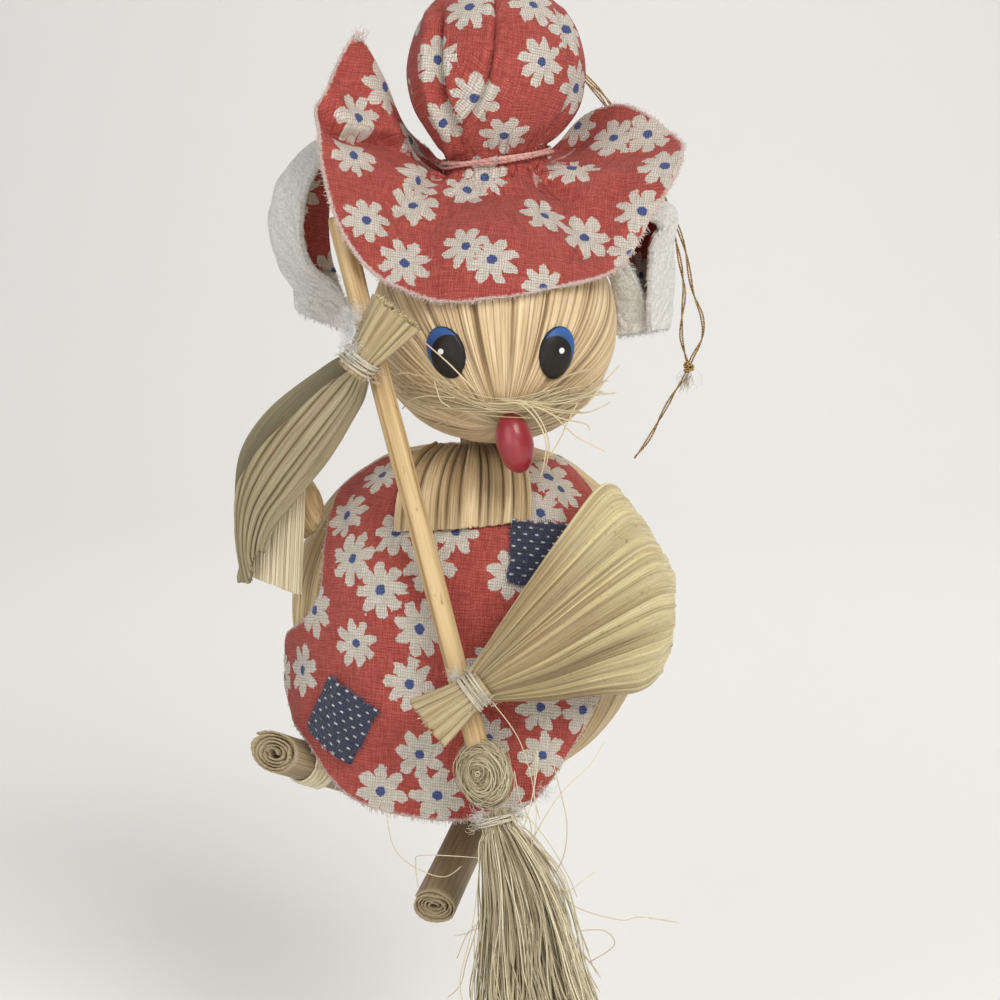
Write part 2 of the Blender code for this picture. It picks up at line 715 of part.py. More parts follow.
def make_body(husk, foam):
    husk_bag("body_husk", on_body, True, husk)
    inset = -(husk_thickness + 3 * seat_gap)
    ball_mesh("body_core", lambda azimuth, polar: on_body(azimuth, polar, inset), foam)


def make_collar(husk):
    """Pleated husk ends from the neck's foot down over the chest, above the apron."""
    rows, columns = 4, collar_pleats * 2
    lift = 3 * seat_gap + cloth_thickness + collar_thickness / 2
    grid = []
    for row in range(rows + 1):
        share = row / rows
        left = blend(*collar_left_turns, share ** 0.6)
        right = blend(*collar_right_turns, share ** 0.6)
        line = []
        for column in range(columns + 1):
            polar = blend(collar_start_turn, blend(*collar_end_turns, column / columns), share)
            line.append(on_body(blend(left, right, column / columns), polar, lift))
        grid.append(line)
    pleated_sheet("husk_collar", grid, collar_pleats, collar_pleat_depth, collar_thickness, husk)


def make_apron(cotton, denim):
    rows, columns = 10, 18
    top = apron_top_share * body_radius
    grid = []
    for row in range(rows + 1):
        down = row / rows
        left = math.radians(smooth_value(apron_left_turns, down))
        right = math.radians(smooth_value(apron_right_turns, down))
        line = []
        for column in range(columns + 1):
            share = column / columns
            height = blend(top, smooth_value(apron_hem_shares, share) * body_radius, down)
            line.append(on_apron(blend(left, right, share), height))
        grid.append(line)
    sheet("apron", grid, cloth_thickness, cotton)
    make_patch("patch_left", *patch_left_place, denim)
    make_patch("patch_right", *patch_right_place, denim)


def make_patch(name, azimuth, height_share, turn, finish):
    height = height_share * body_radius
    steps = 4
    lift = cloth_thickness + seat_gap
    grid = []
    for row in range(steps + 1):
        line = []
        for column in range(steps + 1):
            across = patch_half_side * (2 * column / steps - 1)
            rise = patch_half_side * (1 - 2 * row / steps)
            side = across * math.cos(turn) - rise * math.sin(turn)
            up = across * math.sin(turn) + rise * math.cos(turn)
            slant = math.cos(max(0.0, height) / body_radius)
            line.append(on_apron(azimuth + side / (body_radius * slant), height + up, lift))
        grid.append(line)
    sheet(name, grid, cloth_thickness, finish)


STICK_TOP = scaled(stick_top_share, head_radius, HEAD)
BROOM_HEEL = scaled(broom_heel_share, body_radius, BODY)
BROOM_AXIS = (BROOM_HEEL - STICK_TOP).normalized()


def wrist_centre(held, side):
    """A wrist tied to the front of the stick at a point of it."""
    forward = stick_radius / math.cos(math.asin(-BROOM_AXIS.y)) + 2 * seat_gap + wrist_radius + tie_thread
    return held + Vector((side, -forward - seat_gap, 0))


def make_hand(name, centre, direction, husk):
    """A wrist and the tuft of husk ends past its tie."""
    ahead = direction.normalized()
    level, upright = frame_along(ahead, Vector((0, -1, 0)).cross(ahead))
    rings = []
    for share in (-1, 1):
        rings.append(ring_at(centre + ahead * share * wrist_length / 2, level, upright,
                             wrist_radius, wrist_radius, 24))
    for share in (0.4, 0.7, 1):
        width = blend(wrist_radius, hand_half_width, share)
        depth = blend(wrist_radius, hand_half_depth, share)
        place = centre + ahead * (wrist_length / 2 + hand_length * share)
        rings.append(ring_at(place, level, upright, width, depth, 24, 8, 0.06 * share))
    loft(name, rings, husk)


def sleeve_lines(shares, centre, direction):
    """Guide lines of a sleeve, which starts gathered behind its wrist."""
    ahead = direction.normalized()
    level, _ = frame_along(ahead, Vector((0, -1, 0)).cross(ahead))
    start = centre - ahead * (wrist_length / 2 + seat_gap + sleeve_thickness)
    first = [scaled(line[0], body_radius, BODY) for line in shares]
    spread = (first[0] - first[2]).dot(level)
    turn = 1 if spread > 0 else -1
    starts = [start + level * turn * wrist_radius, start, start - level * turn * wrist_radius]
    return [[begin] + [scaled(point, body_radius, BODY) for point in line] for begin, line in zip(starts, shares)]


def make_arms(husk, thread):
    left = wrist_centre(STICK_TOP + BROOM_AXIS * brim_reach * wrist_left_drop_share, wrist_left_side)
    right = wrist_centre(BROOM_HEEL - BROOM_AXIS * body_radius * wrist_right_rise_share, wrist_right_side)
    reach = wrist_radius + seat_gap + tie_thread / 2
    make_hand("hand_left", left, hand_left_direction, husk)
    make_hand("hand_right", right, hand_right_direction, husk)
    winding("wrist_tie_left", left, hand_left_direction, reach, tie_thread, 2, thread)
    winding("wrist_tie_right", right, hand_right_direction, reach, tie_thread, 2, thread)
    lines = sleeve_lines(sleeve_left_shares, left, hand_left_direction)
    grid = surface_through(lines, 9, sleeve_pleats * 2)
    pleated_sheet("sleeve_left", grid, sleeve_pleats, pleat_depth, sleeve_thickness, husk)
    lines = [[scaled(point, body_radius, BODY) for point in line] for line in flap_left_shares]
    sheet("sleeve_left_flap", surface_through(lines, 6, 6), sleeve_thickness, husk)
    lines = sleeve_lines(fan_right_shares, right, hand_right_direction)
    grid = surface_through(lines, 8, fan_pleats * 2)
    pleated_sheet("sleeve_right", grid, fan_pleats, pleat_depth, sleeve_thickness, husk)
    make_upper_arm(husk)


def make_upper_arm(husk):
    points = [scaled(share, body_radius, BODY) for share in upper_arm_left_shares]
    stations = 6
    rings = []
    for index in range(stations + 1):
        share = index / stations
        centre = smooth_point(points, share * (len(points) - 1))
        size = smooth_value(upper_arm_size_shares, share)
        level, upright = frame_along(points[-1] - points[0], Vector((0, 0, 1)))
        rings.append(ring_at(centre, level, upright, upper_arm_half_height * size,
                             upper_arm_half_depth * size, 14))
    loft("upper_arm_left", rings, husk)


def make_broom(wood, sisal, thread):
    level, upright = frame_along(BROOM_AXIS)
    rings = [ring_at(place, level, upright, stick_radius, stick_radius, 16) for place in (STICK_TOP, BROOM_HEEL)]
    loft("broom_stick", rings, wood)

    def bun(azimuth, polar):
        spot = around(Vector(), 1, azimuth, polar)
        return (BROOM_HEEL + level * spot.x * bun_half_width + upright * spot.y * bun_half_width
                - BROOM_AXIS * spot.z * bun_half_length)

    head = ball_mesh("broom_bun", bun, sisal, 14, 10)
    bore = stick_radius + seat_gap
    ends = (BROOM_HEEL - BROOM_AXIS * (bun_half_length + overrun), BROOM_HEEL + BROOM_AXIS * seat_gap)
    cutter = loft("bun_bore", [ring_at(place, level, upright, bore, bore, 16) for place in ends], sisal)
    cutter.hide_render = True
    cutter.display_type = "WIRE"
    cut = head.modifiers.new("Bore", "BOOLEAN")
    cut.operation = "DIFFERENCE"
    cut.object = cutter
    neck_top = BROOM_HEEL + BROOM_AXIS * (bun_half_length + seat_gap)
    make_bristles(neck_top, sisal)
    tie_at = neck_top + BROOM_AXIS * brush_neck_height / 2
    winding("broom_tie", tie_at, BROOM_AXIS, brush_neck_radius + seat_gap + tie_thread / 2, tie_thread, 2, thread)


def lattice_point(first, second):
    """A point of a triangular lattice of unit spacing."""
    return Vector((first + second / 2, second * math.sqrt(3) / 2))


def make_bristles(neck_top, sisal):
    """Straight strands fused to the slice of fibre that the tie holds, one on every second lattice triangle."""
    dice = random.Random(7)
    level, upright = frame_along(BROOM_AXIS)
    side = strands_per_side
    spots = {}
    for first in range(-side, side + 1):
        for second in range(-side, side + 1):
            if abs(first + second) <= side:
                spots[(first, second)] = lattice_point(first, second) / side
    base = neck_top + BROOM_AXIS * brush_neck_height
    ahead = blend(BROOM_AXIS, Vector((0, 0, -1)), brush_droop_share).normalized()

    def spread(along, radius, spot):
        return base + along + level * spot.x * radius + upright * spot.y * radius

    points, faces, index_of = [], [], {}
    for key, spot in spots.items():
        index_of[key] = len(points)
        points.append(spread(Vector(), brush_neck_radius, spot))
    for first, second in spots:
        right, above, below = (first + 1, second), (first, second + 1), (first + 1, second - 1)
        if right in spots and below in spots:
            faces.append((index_of[(first, second)], index_of[right], index_of[below]))
        if right not in spots or above not in spots:
            continue
        corners = [(first, second), right, above]
        middle = sum((spots[corner] for corner in corners), Vector((0, 0))) / 3
        middle += Vector((dice.uniform(-1, 1), dice.uniform(-1, 1))) * strand_drift_share / side
        tip = len(points)
        points.append(spread(ahead * brush_length * dice.uniform(0.88, 1), brush_end_radius, middle))
        faces += [(index_of[corners[turn]], index_of[corners[turn - 2]], tip) for turn in range(3)]
    close_slice(points, faces, spots, index_of, side)
    item = add_mesh("broom_bristles", points, faces, sisal)
    face_outwards(item)


def close_slice(points, faces, spots, index_of, side):
    """The slice's flank and its far end, from the lattice's outline."""
    corners = [(side, 0), (0, side), (-side, side), (-side, 0), (0, -side), (side, -side)]
    outline = []
    for start, end in zip(corners, corners[1:] + corners[:1]):
        for step in range(side):
            outline.append((start[0] + (end[0] - start[0]) * step // side,
                            start[1] + (end[1] - start[1]) * step // side))
    back = []
    for key in outline:
        back.append(len(points))
        points.append(points[index_of[key]] - BROOM_AXIS * brush_neck_height)
    for index, key in enumerate(outline):
        beside = (index + 1) % len(outline)
        faces.append((index_of[key], index_of[outline[beside]], back[beside], back[index]))
    faces.append(tuple(back))


def make_roll(name, hip, foot, half_width, half_height, husk):
    """A leg: husk rolled up, its spiral showing at the foot."""
    level, upright = frame_along(foot - hip)
    steps = roll_turns * 14
    outer, inner = [], []
    for index in range(steps + 1):
        share = index / steps
        angle = 2 * math.pi * roll_turns * share
        reach = blend(roll_start_share, 1, share)
        flat = Vector((math.cos(angle), math.sin(angle)))
        outer.append(flat * reach)
        inner.append(flat * (reach - roll_wall_share))
    section = outer + inner[::-1]
    rings = []
    for place in (hip, foot):
        rings.append([place + level * spot.x * half_width + upright * spot.y * half_height for spot in section])
    loft(name, rings, husk)


def make_legs(husk):
    hip, foot = (scaled(share, body_radius, BODY) for share in (leg_left_hip_share, leg_left_foot_share))
    make_roll("leg_left", hip, foot, leg_left_half_width, leg_left_half_height, husk)
    level, upright = frame_along(foot - hip)
    ahead = (foot - hip).normalized()
    middle = seat_gap + wrap_thickness / 2
    centre = blend(hip, foot, wrap_place_share)
    rings = [ring_at(centre + ahead * wrap_width * share, level, upright,
                     leg_left_half_width + middle, leg_left_half_height + middle, round_segments)
             for share in (-0.5, 0.5)]
    sheet("leg_left_wrap", rings, wrap_thickness, husk, closed=True)
    hip, foot = (scaled(share, body_radius, BODY) for share in (leg_right_hip_share, leg_right_foot_share))
    make_roll("leg_right", hip, foot, leg_right_half_width, leg_right_half_height, husk)


def make_hanging_loop(gold):
    anchor = bpy.data.objects.new("loop_pivot", None)
    bpy.context.collection.objects.link(anchor)
    for name, route in (("cord_strand_right", strand_right_route), ("cord_strand_left", strand_left_route),
                        ("cord_tail", cord_tail_route)):
        tube(name, evenly_spaced(route, cord_step), cord_diameter, gold, anchor, 2)
    centre = Vector(knot_place) * mm
    knot = ball_mesh("cord_knot", lambda azimuth, polar: around(centre, knot_radius, azimuth, polar), gold, 12, 8)
    knot.parent = anchor


def build():
    clear_scene()
    husk = material("husk", (0.66, 0.52, 0.3), 0.6)
    cotton = material("cotton_print", (0.62, 0.06, 0.04), 0.9)
    denim = material("denim", (0.04, 0.05, 0.12), 0.9)
    foam = material("foam", (0.85, 0.85, 0.82), 0.8)
    felt = material("fleece", (0.75, 0.73, 0.68), 0.95)
    sisal = material("sisal", (0.6, 0.5, 0.32), 0.6)
    wood = material("twig", (0.55, 0.36, 0.16), 0.6)
    thread = material("thread", (0.7, 0.64, 0.5), 0.8)
    nylon = material("nylon", (0.8, 0.78, 0.7), 0.25)
    bead = material("bead", (0.5, 0.02, 0.05), 0.3)
    eyes = material("eye_sticker", (0.02, 0.02, 0.025), 0.25)
    gold = material("gold_thread", (0.7, 0.45, 0.15), 0.35, 1)
    make_hat(cotton, thread, foam)
    make_head(husk, foam)
    make_face(eyes, bead, sisal)
    make_ear("left", ear_left_shares, ear_left_root_share, 14, 6, slice(1, 6), felt, cotton)
    make_ear("right", ear_right_shares, ear_right_root_share, 10, 10, slice(6, 10), felt, cotton)
    make_neck(husk, nylon)
    make_body(husk, foam)
    make_collar(husk)
    make_apron(cotton, denim)
    make_arms(husk, thread)
    make_broom(wood, sisal, thread)
    make_legs(husk)
    make_hanging_loop(gold)


build()
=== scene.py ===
"""Looks of the corn husk doll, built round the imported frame.

Lengths are millimetres in the model's own frame unless a name says otherwise, and meshes are
written in metres. The doll looks along -Y, +Z is up, and left and right are the viewer's.
"""

import math

import bmesh
import bpy
import numpy as np
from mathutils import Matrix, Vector
from mathutils.bvhtree import BVHTree


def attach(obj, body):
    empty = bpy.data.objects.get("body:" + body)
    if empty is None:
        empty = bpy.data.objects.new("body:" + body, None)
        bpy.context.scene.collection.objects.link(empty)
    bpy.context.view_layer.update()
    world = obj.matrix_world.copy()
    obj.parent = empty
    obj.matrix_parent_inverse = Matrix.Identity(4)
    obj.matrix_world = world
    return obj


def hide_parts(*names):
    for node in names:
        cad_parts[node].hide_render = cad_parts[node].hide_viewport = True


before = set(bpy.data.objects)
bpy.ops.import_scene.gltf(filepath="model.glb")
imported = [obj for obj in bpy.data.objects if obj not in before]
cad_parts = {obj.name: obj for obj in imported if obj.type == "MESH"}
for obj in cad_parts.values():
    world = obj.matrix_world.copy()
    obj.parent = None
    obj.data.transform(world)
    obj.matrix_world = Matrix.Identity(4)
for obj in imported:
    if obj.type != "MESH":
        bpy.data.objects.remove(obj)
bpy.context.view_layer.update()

MM = 0.001
TURN = 2 * math.pi


def vec(*values):
    return np.array(values, float)


# Camera
look_at = vec(0.5, -5.6, -72)
camera_elevation = math.radians(10)
camera_distance = 400
sensor_width = 36
lens = 100.8
frame_side = 1000
camera_back = vec(0, -math.cos(camera_elevation), math.sin(camera_elevation))
camera_up = vec(0, math.sin(camera_elevation), math.cos(camera_elevation))
camera_place = look_at + camera_back * camera_distance

# Hat
crown_radius = 12.6
loop_tilt = math.radians(25)
cloth_thickness = 0.45
hat_neck_radius = 7.2
hat_neck_drop = 11.9
hat_neck_forward = 0.6
hat_neck_height = 3.8
brim_reach = 24
brim_fold_depth = 0.9
brim_folds = 9

# Head
head_radius = 17
head_clearance = 5.8
head_forward = 6
head_left = 0.3
muzzle_reach = 2.8
muzzle_azimuth = math.radians(4)
muzzle_polar = math.radians(127)
muzzle_spread = math.radians(24)
head_chin_share = 0.08
eye_left_turns = (math.radians(-22), math.radians(96.5), math.radians(22))
eye_right_turns = (math.radians(29.5), math.radians(97), math.radians(-12))
eye_half_width = 2.7
eye_half_height = 3.85
bead_half_width = 2.5
bead_half_length = 4.2
bead_tilt = math.radians(12)
bead_offset_share = 1.04
bead_turns = (math.radians(9), math.radians(128))
ear_reach_share = 1.176
felt_thickness = 1
lining_thickness = 0.4

# Body
body_radius = 25.8
neck_length = 2.84
body_back = 6
body_left = 3.3
body_top_share = 0.1
flattening_spread = math.radians(25)
neck_radius = 3.3
collar_start_turn = math.radians(22)
collar_end_turns = (math.radians(57), math.radians(53))
collar_left_turns = (math.radians(-50), math.radians(-27))
collar_right_turns = (math.radians(50), math.radians(22))
collar_thickness = 0.4
apron_flare = 2.2
apron_wave = 0.8
apron_top_share = 1.06
patch_half_side = 4.3
patch_left_place = (math.radians(-38.5), -0.42, math.radians(-24))
patch_right_place = (math.radians(24), 0.47, math.radians(-10))

# Arms and broom
wrist_radius = 2.2
wrist_length = 3.2
hand_length = 7.4
hand_half_width = 3.7
hand_half_depth = 1.7
sleeve_thickness = 0.8
upper_arm_half_height = 5
upper_arm_half_depth = 2.2
stick_radius = 1.5
bun_half_width = 4
bun_half_length = 4.9
brush_neck_radius = 2.4
brush_neck_height = 2.6
brush_length = 33
brush_end_radius = 9
brush_droop_share = 0.45

# Legs
leg_left_half_width = 4
leg_left_half_height = 2.9
leg_right_half_width = 3.2
leg_right_half_height = 2.4
wrap_width = 3.4
wrap_thickness = 0.4

# Threads and clearances
tie_thread = 0.5
neck_thread = 0.3
cord_diameter = 0.6
knot_radius = 1.2
seat_gap = 0.3

CROWN = vec(0, -math.sin(loop_tilt), -math.cos(loop_tilt)) * crown_radius
HAT_NECK = CROWN + vec(0, -hat_neck_forward, -hat_neck_drop)
HEAD = CROWN + vec(-head_left, -head_forward, -hat_neck_drop - head_clearance - head_radius)
NECK_TOP = HEAD + vec(0, 0, -head_radius * (1 - head_chin_share))
BODY_TOP = NECK_TOP + vec(-body_left, body_back, -neck_length)
BODY = BODY_TOP - vec(0, 0, body_radius * (1 - body_top_share))
EAR_REACH = head_radius * ear_reach_share

brim_edge_shares = [
    (-0.03, -0.93, -0.74), (-0.31, -0.9, -0.75), (-0.53, -0.9, -0.68), (-0.7, -0.87, -0.58),
    (-0.84, -0.83, -0.41), (-0.94, -0.72, -0.19), (-1.0, -0.56, 0.07), (-1.01, -0.43, 0.26),
    (-0.92, -0.31, 0.51), (-0.79, -0.23, 0.69), (-0.64, -0.1, 0.45), (-0.55, 0.11, 0.2),
    (-0.4, 0.3, 0.02), (-0.2, 0.48, -0.2), (0.05, 0.52, -0.26), (0.3, 0.48, -0.06),
    (0.5, 0.42, 0.2), (0.7, 0.28, 0.3), (0.87, 0.15, 0.25), (1.03, 0.02, 0.13),
    (1.08, -0.14, 0.05), (1.01, -0.31, -0.13), (0.88, -0.43, -0.33), (0.76, -0.56, -0.52),
    (0.62, -0.68, -0.62), (0.37, -0.83, -0.67),
]
ear_left_shares = [
    [(-0.555, 0.037, 0.667), (-0.88, 0.1, 1.02), (-1.09, 0.2, 1.19), (-1.29, 0.15, 0.96),
     (-1.35, 0.15, 0.68), (-1.29, 0.15, 0.42), (-1.12, 0.2, 0.24), (-1.01, 0.2, 0.08),
     (-1.02, 0.2, -0.07)],
    [(-0.541, 0.14, 0.664), (-0.95, 0.3, 1.1), (-1.21, 0.4, 1.24), (-1.49, 0.4, 0.99), (-1.57, 0.4, 0.66),
     (-1.51, 0.4, 0.38), (-1.4, 0.35, 0.21), (-1.39, 0.3, 0.06), (-1.34, 0.3, -0.08)],
    [(-0.52, 0.274, 0.639), (-0.85, 0.5, 1.0), (-1.06, 0.65, 1.16), (-1.18, 0.7, 0.93), (-1.21, 0.7, 0.64),
     (-1.18, 0.65, 0.36), (-1.1, 0.55, 0.19), (-1.05, 0.5, 0.04), (-1.05, 0.45, -0.09)],
]
ear_right_shares = [
    [(0.66, 0.0, 0.64), (0.9, 0.18, 0.61), (0.93, 0.18, 0.43), (1.06, 0.2, 0.16), (1.07, 0.22, -0.07)],
    [(0.67, 0.16, 0.64), (0.84, 0.3, 0.64), (0.82, 0.3, 0.41), (0.86, 0.3, 0.14), (0.89, 0.3, -0.11)],
    [(0.66, 0.36, 0.72), (1.05, 0.62, 0.66), (1.05, 0.65, 0.38), (1.05, 0.6, 0.11), (1.05, 0.5, -0.12)],
    [(0.57, 0.16, 0.8), (1.21, 0.3, 0.81), (1.24, 0.3, 0.53), (1.25, 0.3, 0.21), (1.23, 0.3, -0.06)],
    [(0.56, 0.0, 0.79), (1.12, 0.15, 0.7), (1.1, 0.1, 0.51), (1.08, 0.1, 0.16), (1.09, 0.15, -0.06)],
]
sleeve_left_shares = [
    [(-0.79, -0.83, 1.44), (-1.05, -0.72, 1.23), (-1.21, -0.6, 1.0), (-1.26, -0.5, 0.76),
     (-1.25, -0.45, 0.5), (-1.22, -0.41, 0.24)],
    [(-0.7, -0.95, 1.35), (-0.89, -0.85, 1.12), (-1.06, -0.74, 0.88), (-1.16, -0.62, 0.67),
     (-1.19, -0.53, 0.44), (-1.16, -0.51, 0.25)],
    [(-0.59, -0.83, 1.25), (-0.75, -0.72, 0.97), (-0.93, -0.64, 0.74), (-1.06, -0.58, 0.57),
     (-1.11, -0.54, 0.4), (-1.09, -0.5, 0.24)],
]
flap_left_shares = [
    [(-1.14, -0.38, 0.79), (-1.22, -0.36, 0.52), (-1.235, -0.38, 0.27)],
    [(-1.0, -0.46, 0.86), (-1.04, -0.47, 0.54), (-1.06, -0.46, 0.22)],
    [(-0.89, -0.47, 0.86), (-0.9, -0.51, 0.54), (-0.92, -0.49, 0.17)],
]
upper_arm_left_shares = [
    (-0.81, -0.42, 0.69), (-0.9, -0.37, 0.68), (-1.03, -0.32, 0.63), (-1.12, -0.29, 0.58),
]
upper_arm_size_shares = [0.6, 1, 1, 0.55]
fan_right_shares = [
    [(0.26, -1.32, 0.33), (0.47, -1.18, 0.61), (0.67, -0.95, 0.83), (0.77, -0.72, 0.8), (0.73, -0.49, 0.72),
     (0.71, -0.39, 0.72)],
    [(0.36, -1.5, 0.08), (0.67, -1.34, 0.24), (0.95, -1.03, 0.33), (1.07, -0.72, 0.28), (1.09, -0.4, 0.22),
     (1.07, -0.17, 0.17)],
    [(0.39, -1.32, -0.19), (0.68, -1.14, -0.21), (0.87, -0.87, -0.27), (0.99, -0.6, -0.27),
     (1.05, -0.37, -0.26), (1.07, -0.2, -0.25)],
]
fan_reach = 24.2
stick_top_share = (-1.24, -0.588, 0.918)
broom_heel_share = (0.08, -1.34, -0.58)
wrist_left_drop_share = 0.82
wrist_left_side = -1.8
wrist_right_rise_share = 0.488
wrist_right_side = 1.9
hand_left_direction = vec(0.6, -0.05, 0.8)
hand_right_direction = vec(-0.81, -0.1, -0.58)
leg_left_foot_share = (-1.06, -0.66, -0.655)
leg_left_hip_share = (-0.325, -0.16, -1.03)
leg_right_foot_share = (-0.19, -1.085, -1.38)
leg_right_hip_share = (0.08, -0.13, -1.065)
wrap_place_share = 0.74
apron_left_turns = [-68, -70, -72, -64, -59, -55, -54, -60, -76, -77, -77]
apron_right_turns = [74, 70, 66, 62, 58, 55, 54, 53, 52, 51, 50]
apron_hem_shares = [-0.39, -0.5, -0.57, -0.68, -0.81, -0.87, -0.9, -0.9, -0.87, -0.78, -0.55, -0.32, -0.2]

# The gold thread's two strands and its loose end
strand_right_route = [
    (0, 1.45, 0), (1.3, 1.7, 0.2), (3.35, 2.3, -0.9), (6.7, 3.1, -3.4), (9.65, 3.2, -7.4),
    (11.6, 3.0, -11.1), (15.66, 4.9, -15.46), (20.71, 7.4, -22.98), (24.75, 8.4, -30.67),
    (26.3, 8.4, -34.01), (27.55, 8.4, -37.79), (28.6, 8.4, -43.33), (30.01, 7.9, -47.24),
    (30.05, 7.6, -50.2), (28.7, 7.4, -53.0),
]
strand_left_route = [
    (0, 2.35, 0), (1.3, 2.65, 0.2), (3.2, 3.3, -0.9), (6.4, 4.2, -3.4), (9.3, 4.4, -7.3), (11.2, 4.2, -11.4),
    (15.2, 5.9, -15.9), (20.2, 8.4, -23.5), (24.3, 9.4, -31.4), (25.7, 9.4, -34.6), (26.6, 9.2, -38.4),
    (27.4, 8.8, -43.3), (27.1, 8.1, -47.2), (27.0, 7.6, -50.2), (27.6, 7.4, -52.8),
]
cord_tail_route = [
    (27.5, 7.4, -56.05), (26.0, 7.1, -58.3), (24.4, 6.6, -61.1), (22.2, 6.0, -65.1), (20.1, 5.4, -67.8),
]
knot_place = vec(28.05, 7.4, -54.55)

# Where the photograph shows flowers and folds, in its pixels
hat_flower_pixels = [
    (541, 62), (504, 135), (475, 98), (443, 123), (572, 169), (544, 217), (584, 239), (492, 260),
    (648, 135), (614, 139), (642, 212), (413, 207), (417, 181), (467, 191), (485, 178), (466, 247),
    (404, 264), (543, 288), (580, 286), (459, 304), (631, 254), (353, 156), (366, 221), (358, 118),
    (384, 87), (470, 8), (533, 6), (566, 30), (437, 60), (575, 88),
]
apron_flower_pixels = [
    (383, 476), (348, 516), (354, 559), (397, 533), (381, 590), (357, 643), (420, 629), (304, 670),
    (420, 754), (381, 791), (438, 795), (456, 533), (540, 514), (510, 576), (540, 707), (582, 710),
    (542, 755), (410, 684), (488, 738), (548, 478), (430, 565), (560, 490),
]
# Each fold has its points, its depth, half its width in pixels, and its lips' heights left and right
crown_folds_drawn = [
    ([(441, 12), (439, 35), (439, 71), (445, 102), (458, 128), (462, 145)], 1.9, 4, 1.3, 0.2),
    ([(494, -5), (495, 30), (489, 77), (476, 107), (463, 124)], 0.9, 3, 0.4, 0.6),
    ([(552, -5), (563, 36), (570, 61)], 0.45, 2.5, 0.3, 0.3),
    ([(571, 84), (565, 110), (545, 137)], 0.35, 3.5, 0.2, 0.2),
]
brim_folds_drawn = [
    ([(475, 203), (477, 225), (477, 250), (476, 286)], 1.8, 8, 0.8, 1.1),
    ([(538, 212), (550, 224), (563, 237), (575, 258)], 1.0, 3, 0.8, 0.0),
    ([(318, 98), (330, 126), (350, 138), (384, 142), (420, 153)], 1.7, 7, 0.6, 1.1),
    ([(535, 184), (550, 192), (566, 203)], 0.8, 8, 0.5, 0.4),
    ([(578, 116), (588, 132), (590, 150)], 1.3, 8, 0.8, 0.6),
    ([(443, 166), (417, 194), (394, 217)], 0.8, 9, 0.6, 0.5),
    ([(524, 270), (550, 268), (575, 260), (606, 256)], 0.6, 4, 0.3, 0.3),
    ([(628, 180), (612, 210), (600, 245)], 0.6, 10, 0.4, 0.4),
]


def make_camera():
    lens_data = bpy.data.cameras.new("Camera")
    lens_data.sensor_width = sensor_width
    lens_data.lens = lens
    camera = bpy.data.objects.new("Camera", lens_data)
    bpy.context.scene.collection.objects.link(camera)
    camera.location = camera_place * MM
    camera.rotation_euler = Vector(camera_back).to_track_quat("Z", "Y").to_euler()
    bpy.context.scene.camera = camera


def sight(pixel):
    """The unit direction in which the camera sees a pixel."""
    scale = sensor_width / lens / frame_side
    across, up = (pixel[0] - frame_side / 2) * scale, (frame_side / 2 - pixel[1]) * scale
    return unit(vec(across, 0, 0) + camera_up * up - camera_back)


def seen_at(pixel, depth):
    """The point that a pixel shows at a depth along Y."""
    ray = sight(pixel)
    return camera_place + ray * (depth - camera_place[1]) / ray[1]


def pixel_of(points):
    """Where the camera sees points, in pixels."""
    off = points - camera_place
    scale = lens / sensor_width * frame_side / -(off @ camera_back)
    return np.stack([frame_side / 2 + off[..., 0] * scale, frame_side / 2 - (off @ camera_up) * scale], -1)


def unit(vectors):
    return vectors / np.maximum(np.linalg.norm(vectors, axis=-1, keepdims=True), 1e-9)


def ramp(values, low, high):
    """0 below low, 1 above high and smooth between them."""
    part = np.clip((values - low) / (high - low), 0, 1)
    return part * part * (3 - 2 * part)


def blend(first, second, share):
    return first + (second - first) * share


def scaled(shares, size, origin):
    return origin + np.array(shares, float) * size


def smooth_point(points, places, closed=False):
    """Points of the Catmull-Rom curve through the points, places counted in spans."""
    points = np.asarray(points, float)
    places = np.asarray(places, float)
    count = len(points)
    span = np.floor(places).astype(int)
    if not closed:
        span = np.clip(span, 0, count - 2)
    part = (places - span).reshape(places.shape + (1,) * (points.ndim - 1))

    def at(index):
        return points[index % count] if closed else points[np.clip(index, 0, count - 1)]

    before, start, end, after = at(span - 1), at(span), at(span + 1), at(span + 2)
    rise, fall = (end - before) / 2, (after - start) / 2
    square, cube = part ** 2, part ** 3
    return (start * (2 * cube - 3 * square + 1) + rise * (cube - 2 * square + part)
            + end * (3 * square - 2 * cube) + fall * (cube - square))


def smooth_line(points, count):
    """Evenly counted points on the smooth curve through the points."""
    return smooth_point(points, np.linspace(0, len(points) - 1, count))


def travelled(path):
    """The distance along a path to each of its points."""
    return np.concatenate([[0], np.cumsum(np.linalg.norm(np.diff(path, axis=0), axis=1))])


def even_line(points, step):
    """Points a step apart on the smooth curve through the points."""
    fine = smooth_line(points, len(points) * 40)
    distance = travelled(fine)
    places = np.linspace(0, distance[-1], round(distance[-1] / step) + 1)
    return np.stack([np.interp(places, distance, fine[:, axis]) for axis in range(3)], 1)


def line_length(path):
    return np.linalg.norm(np.diff(path, axis=0), axis=1).sum()


def surface_through(lines, rows, columns):
    """A grid of points on the smooth surface through guide lines that run side by side."""
    down = smooth_line(np.swapaxes(np.array(lines, float), 0, 1), rows + 1)
    across = smooth_line(np.swapaxes(down, 0, 1), columns + 1)
    return np.swapaxes(across, 0, 1)


def grid_normals(grid, closed=False):
    down = np.pad(grid, ((1, 1), (0, 0), (0, 0)), mode="edge")
    across = np.pad(grid, ((0, 0), (1, 1), (0, 0)), mode="wrap" if closed else "edge")
    return unit(np.cross(down[2:] - down[:-2], across[:, 2:] - across[:, :-2]))


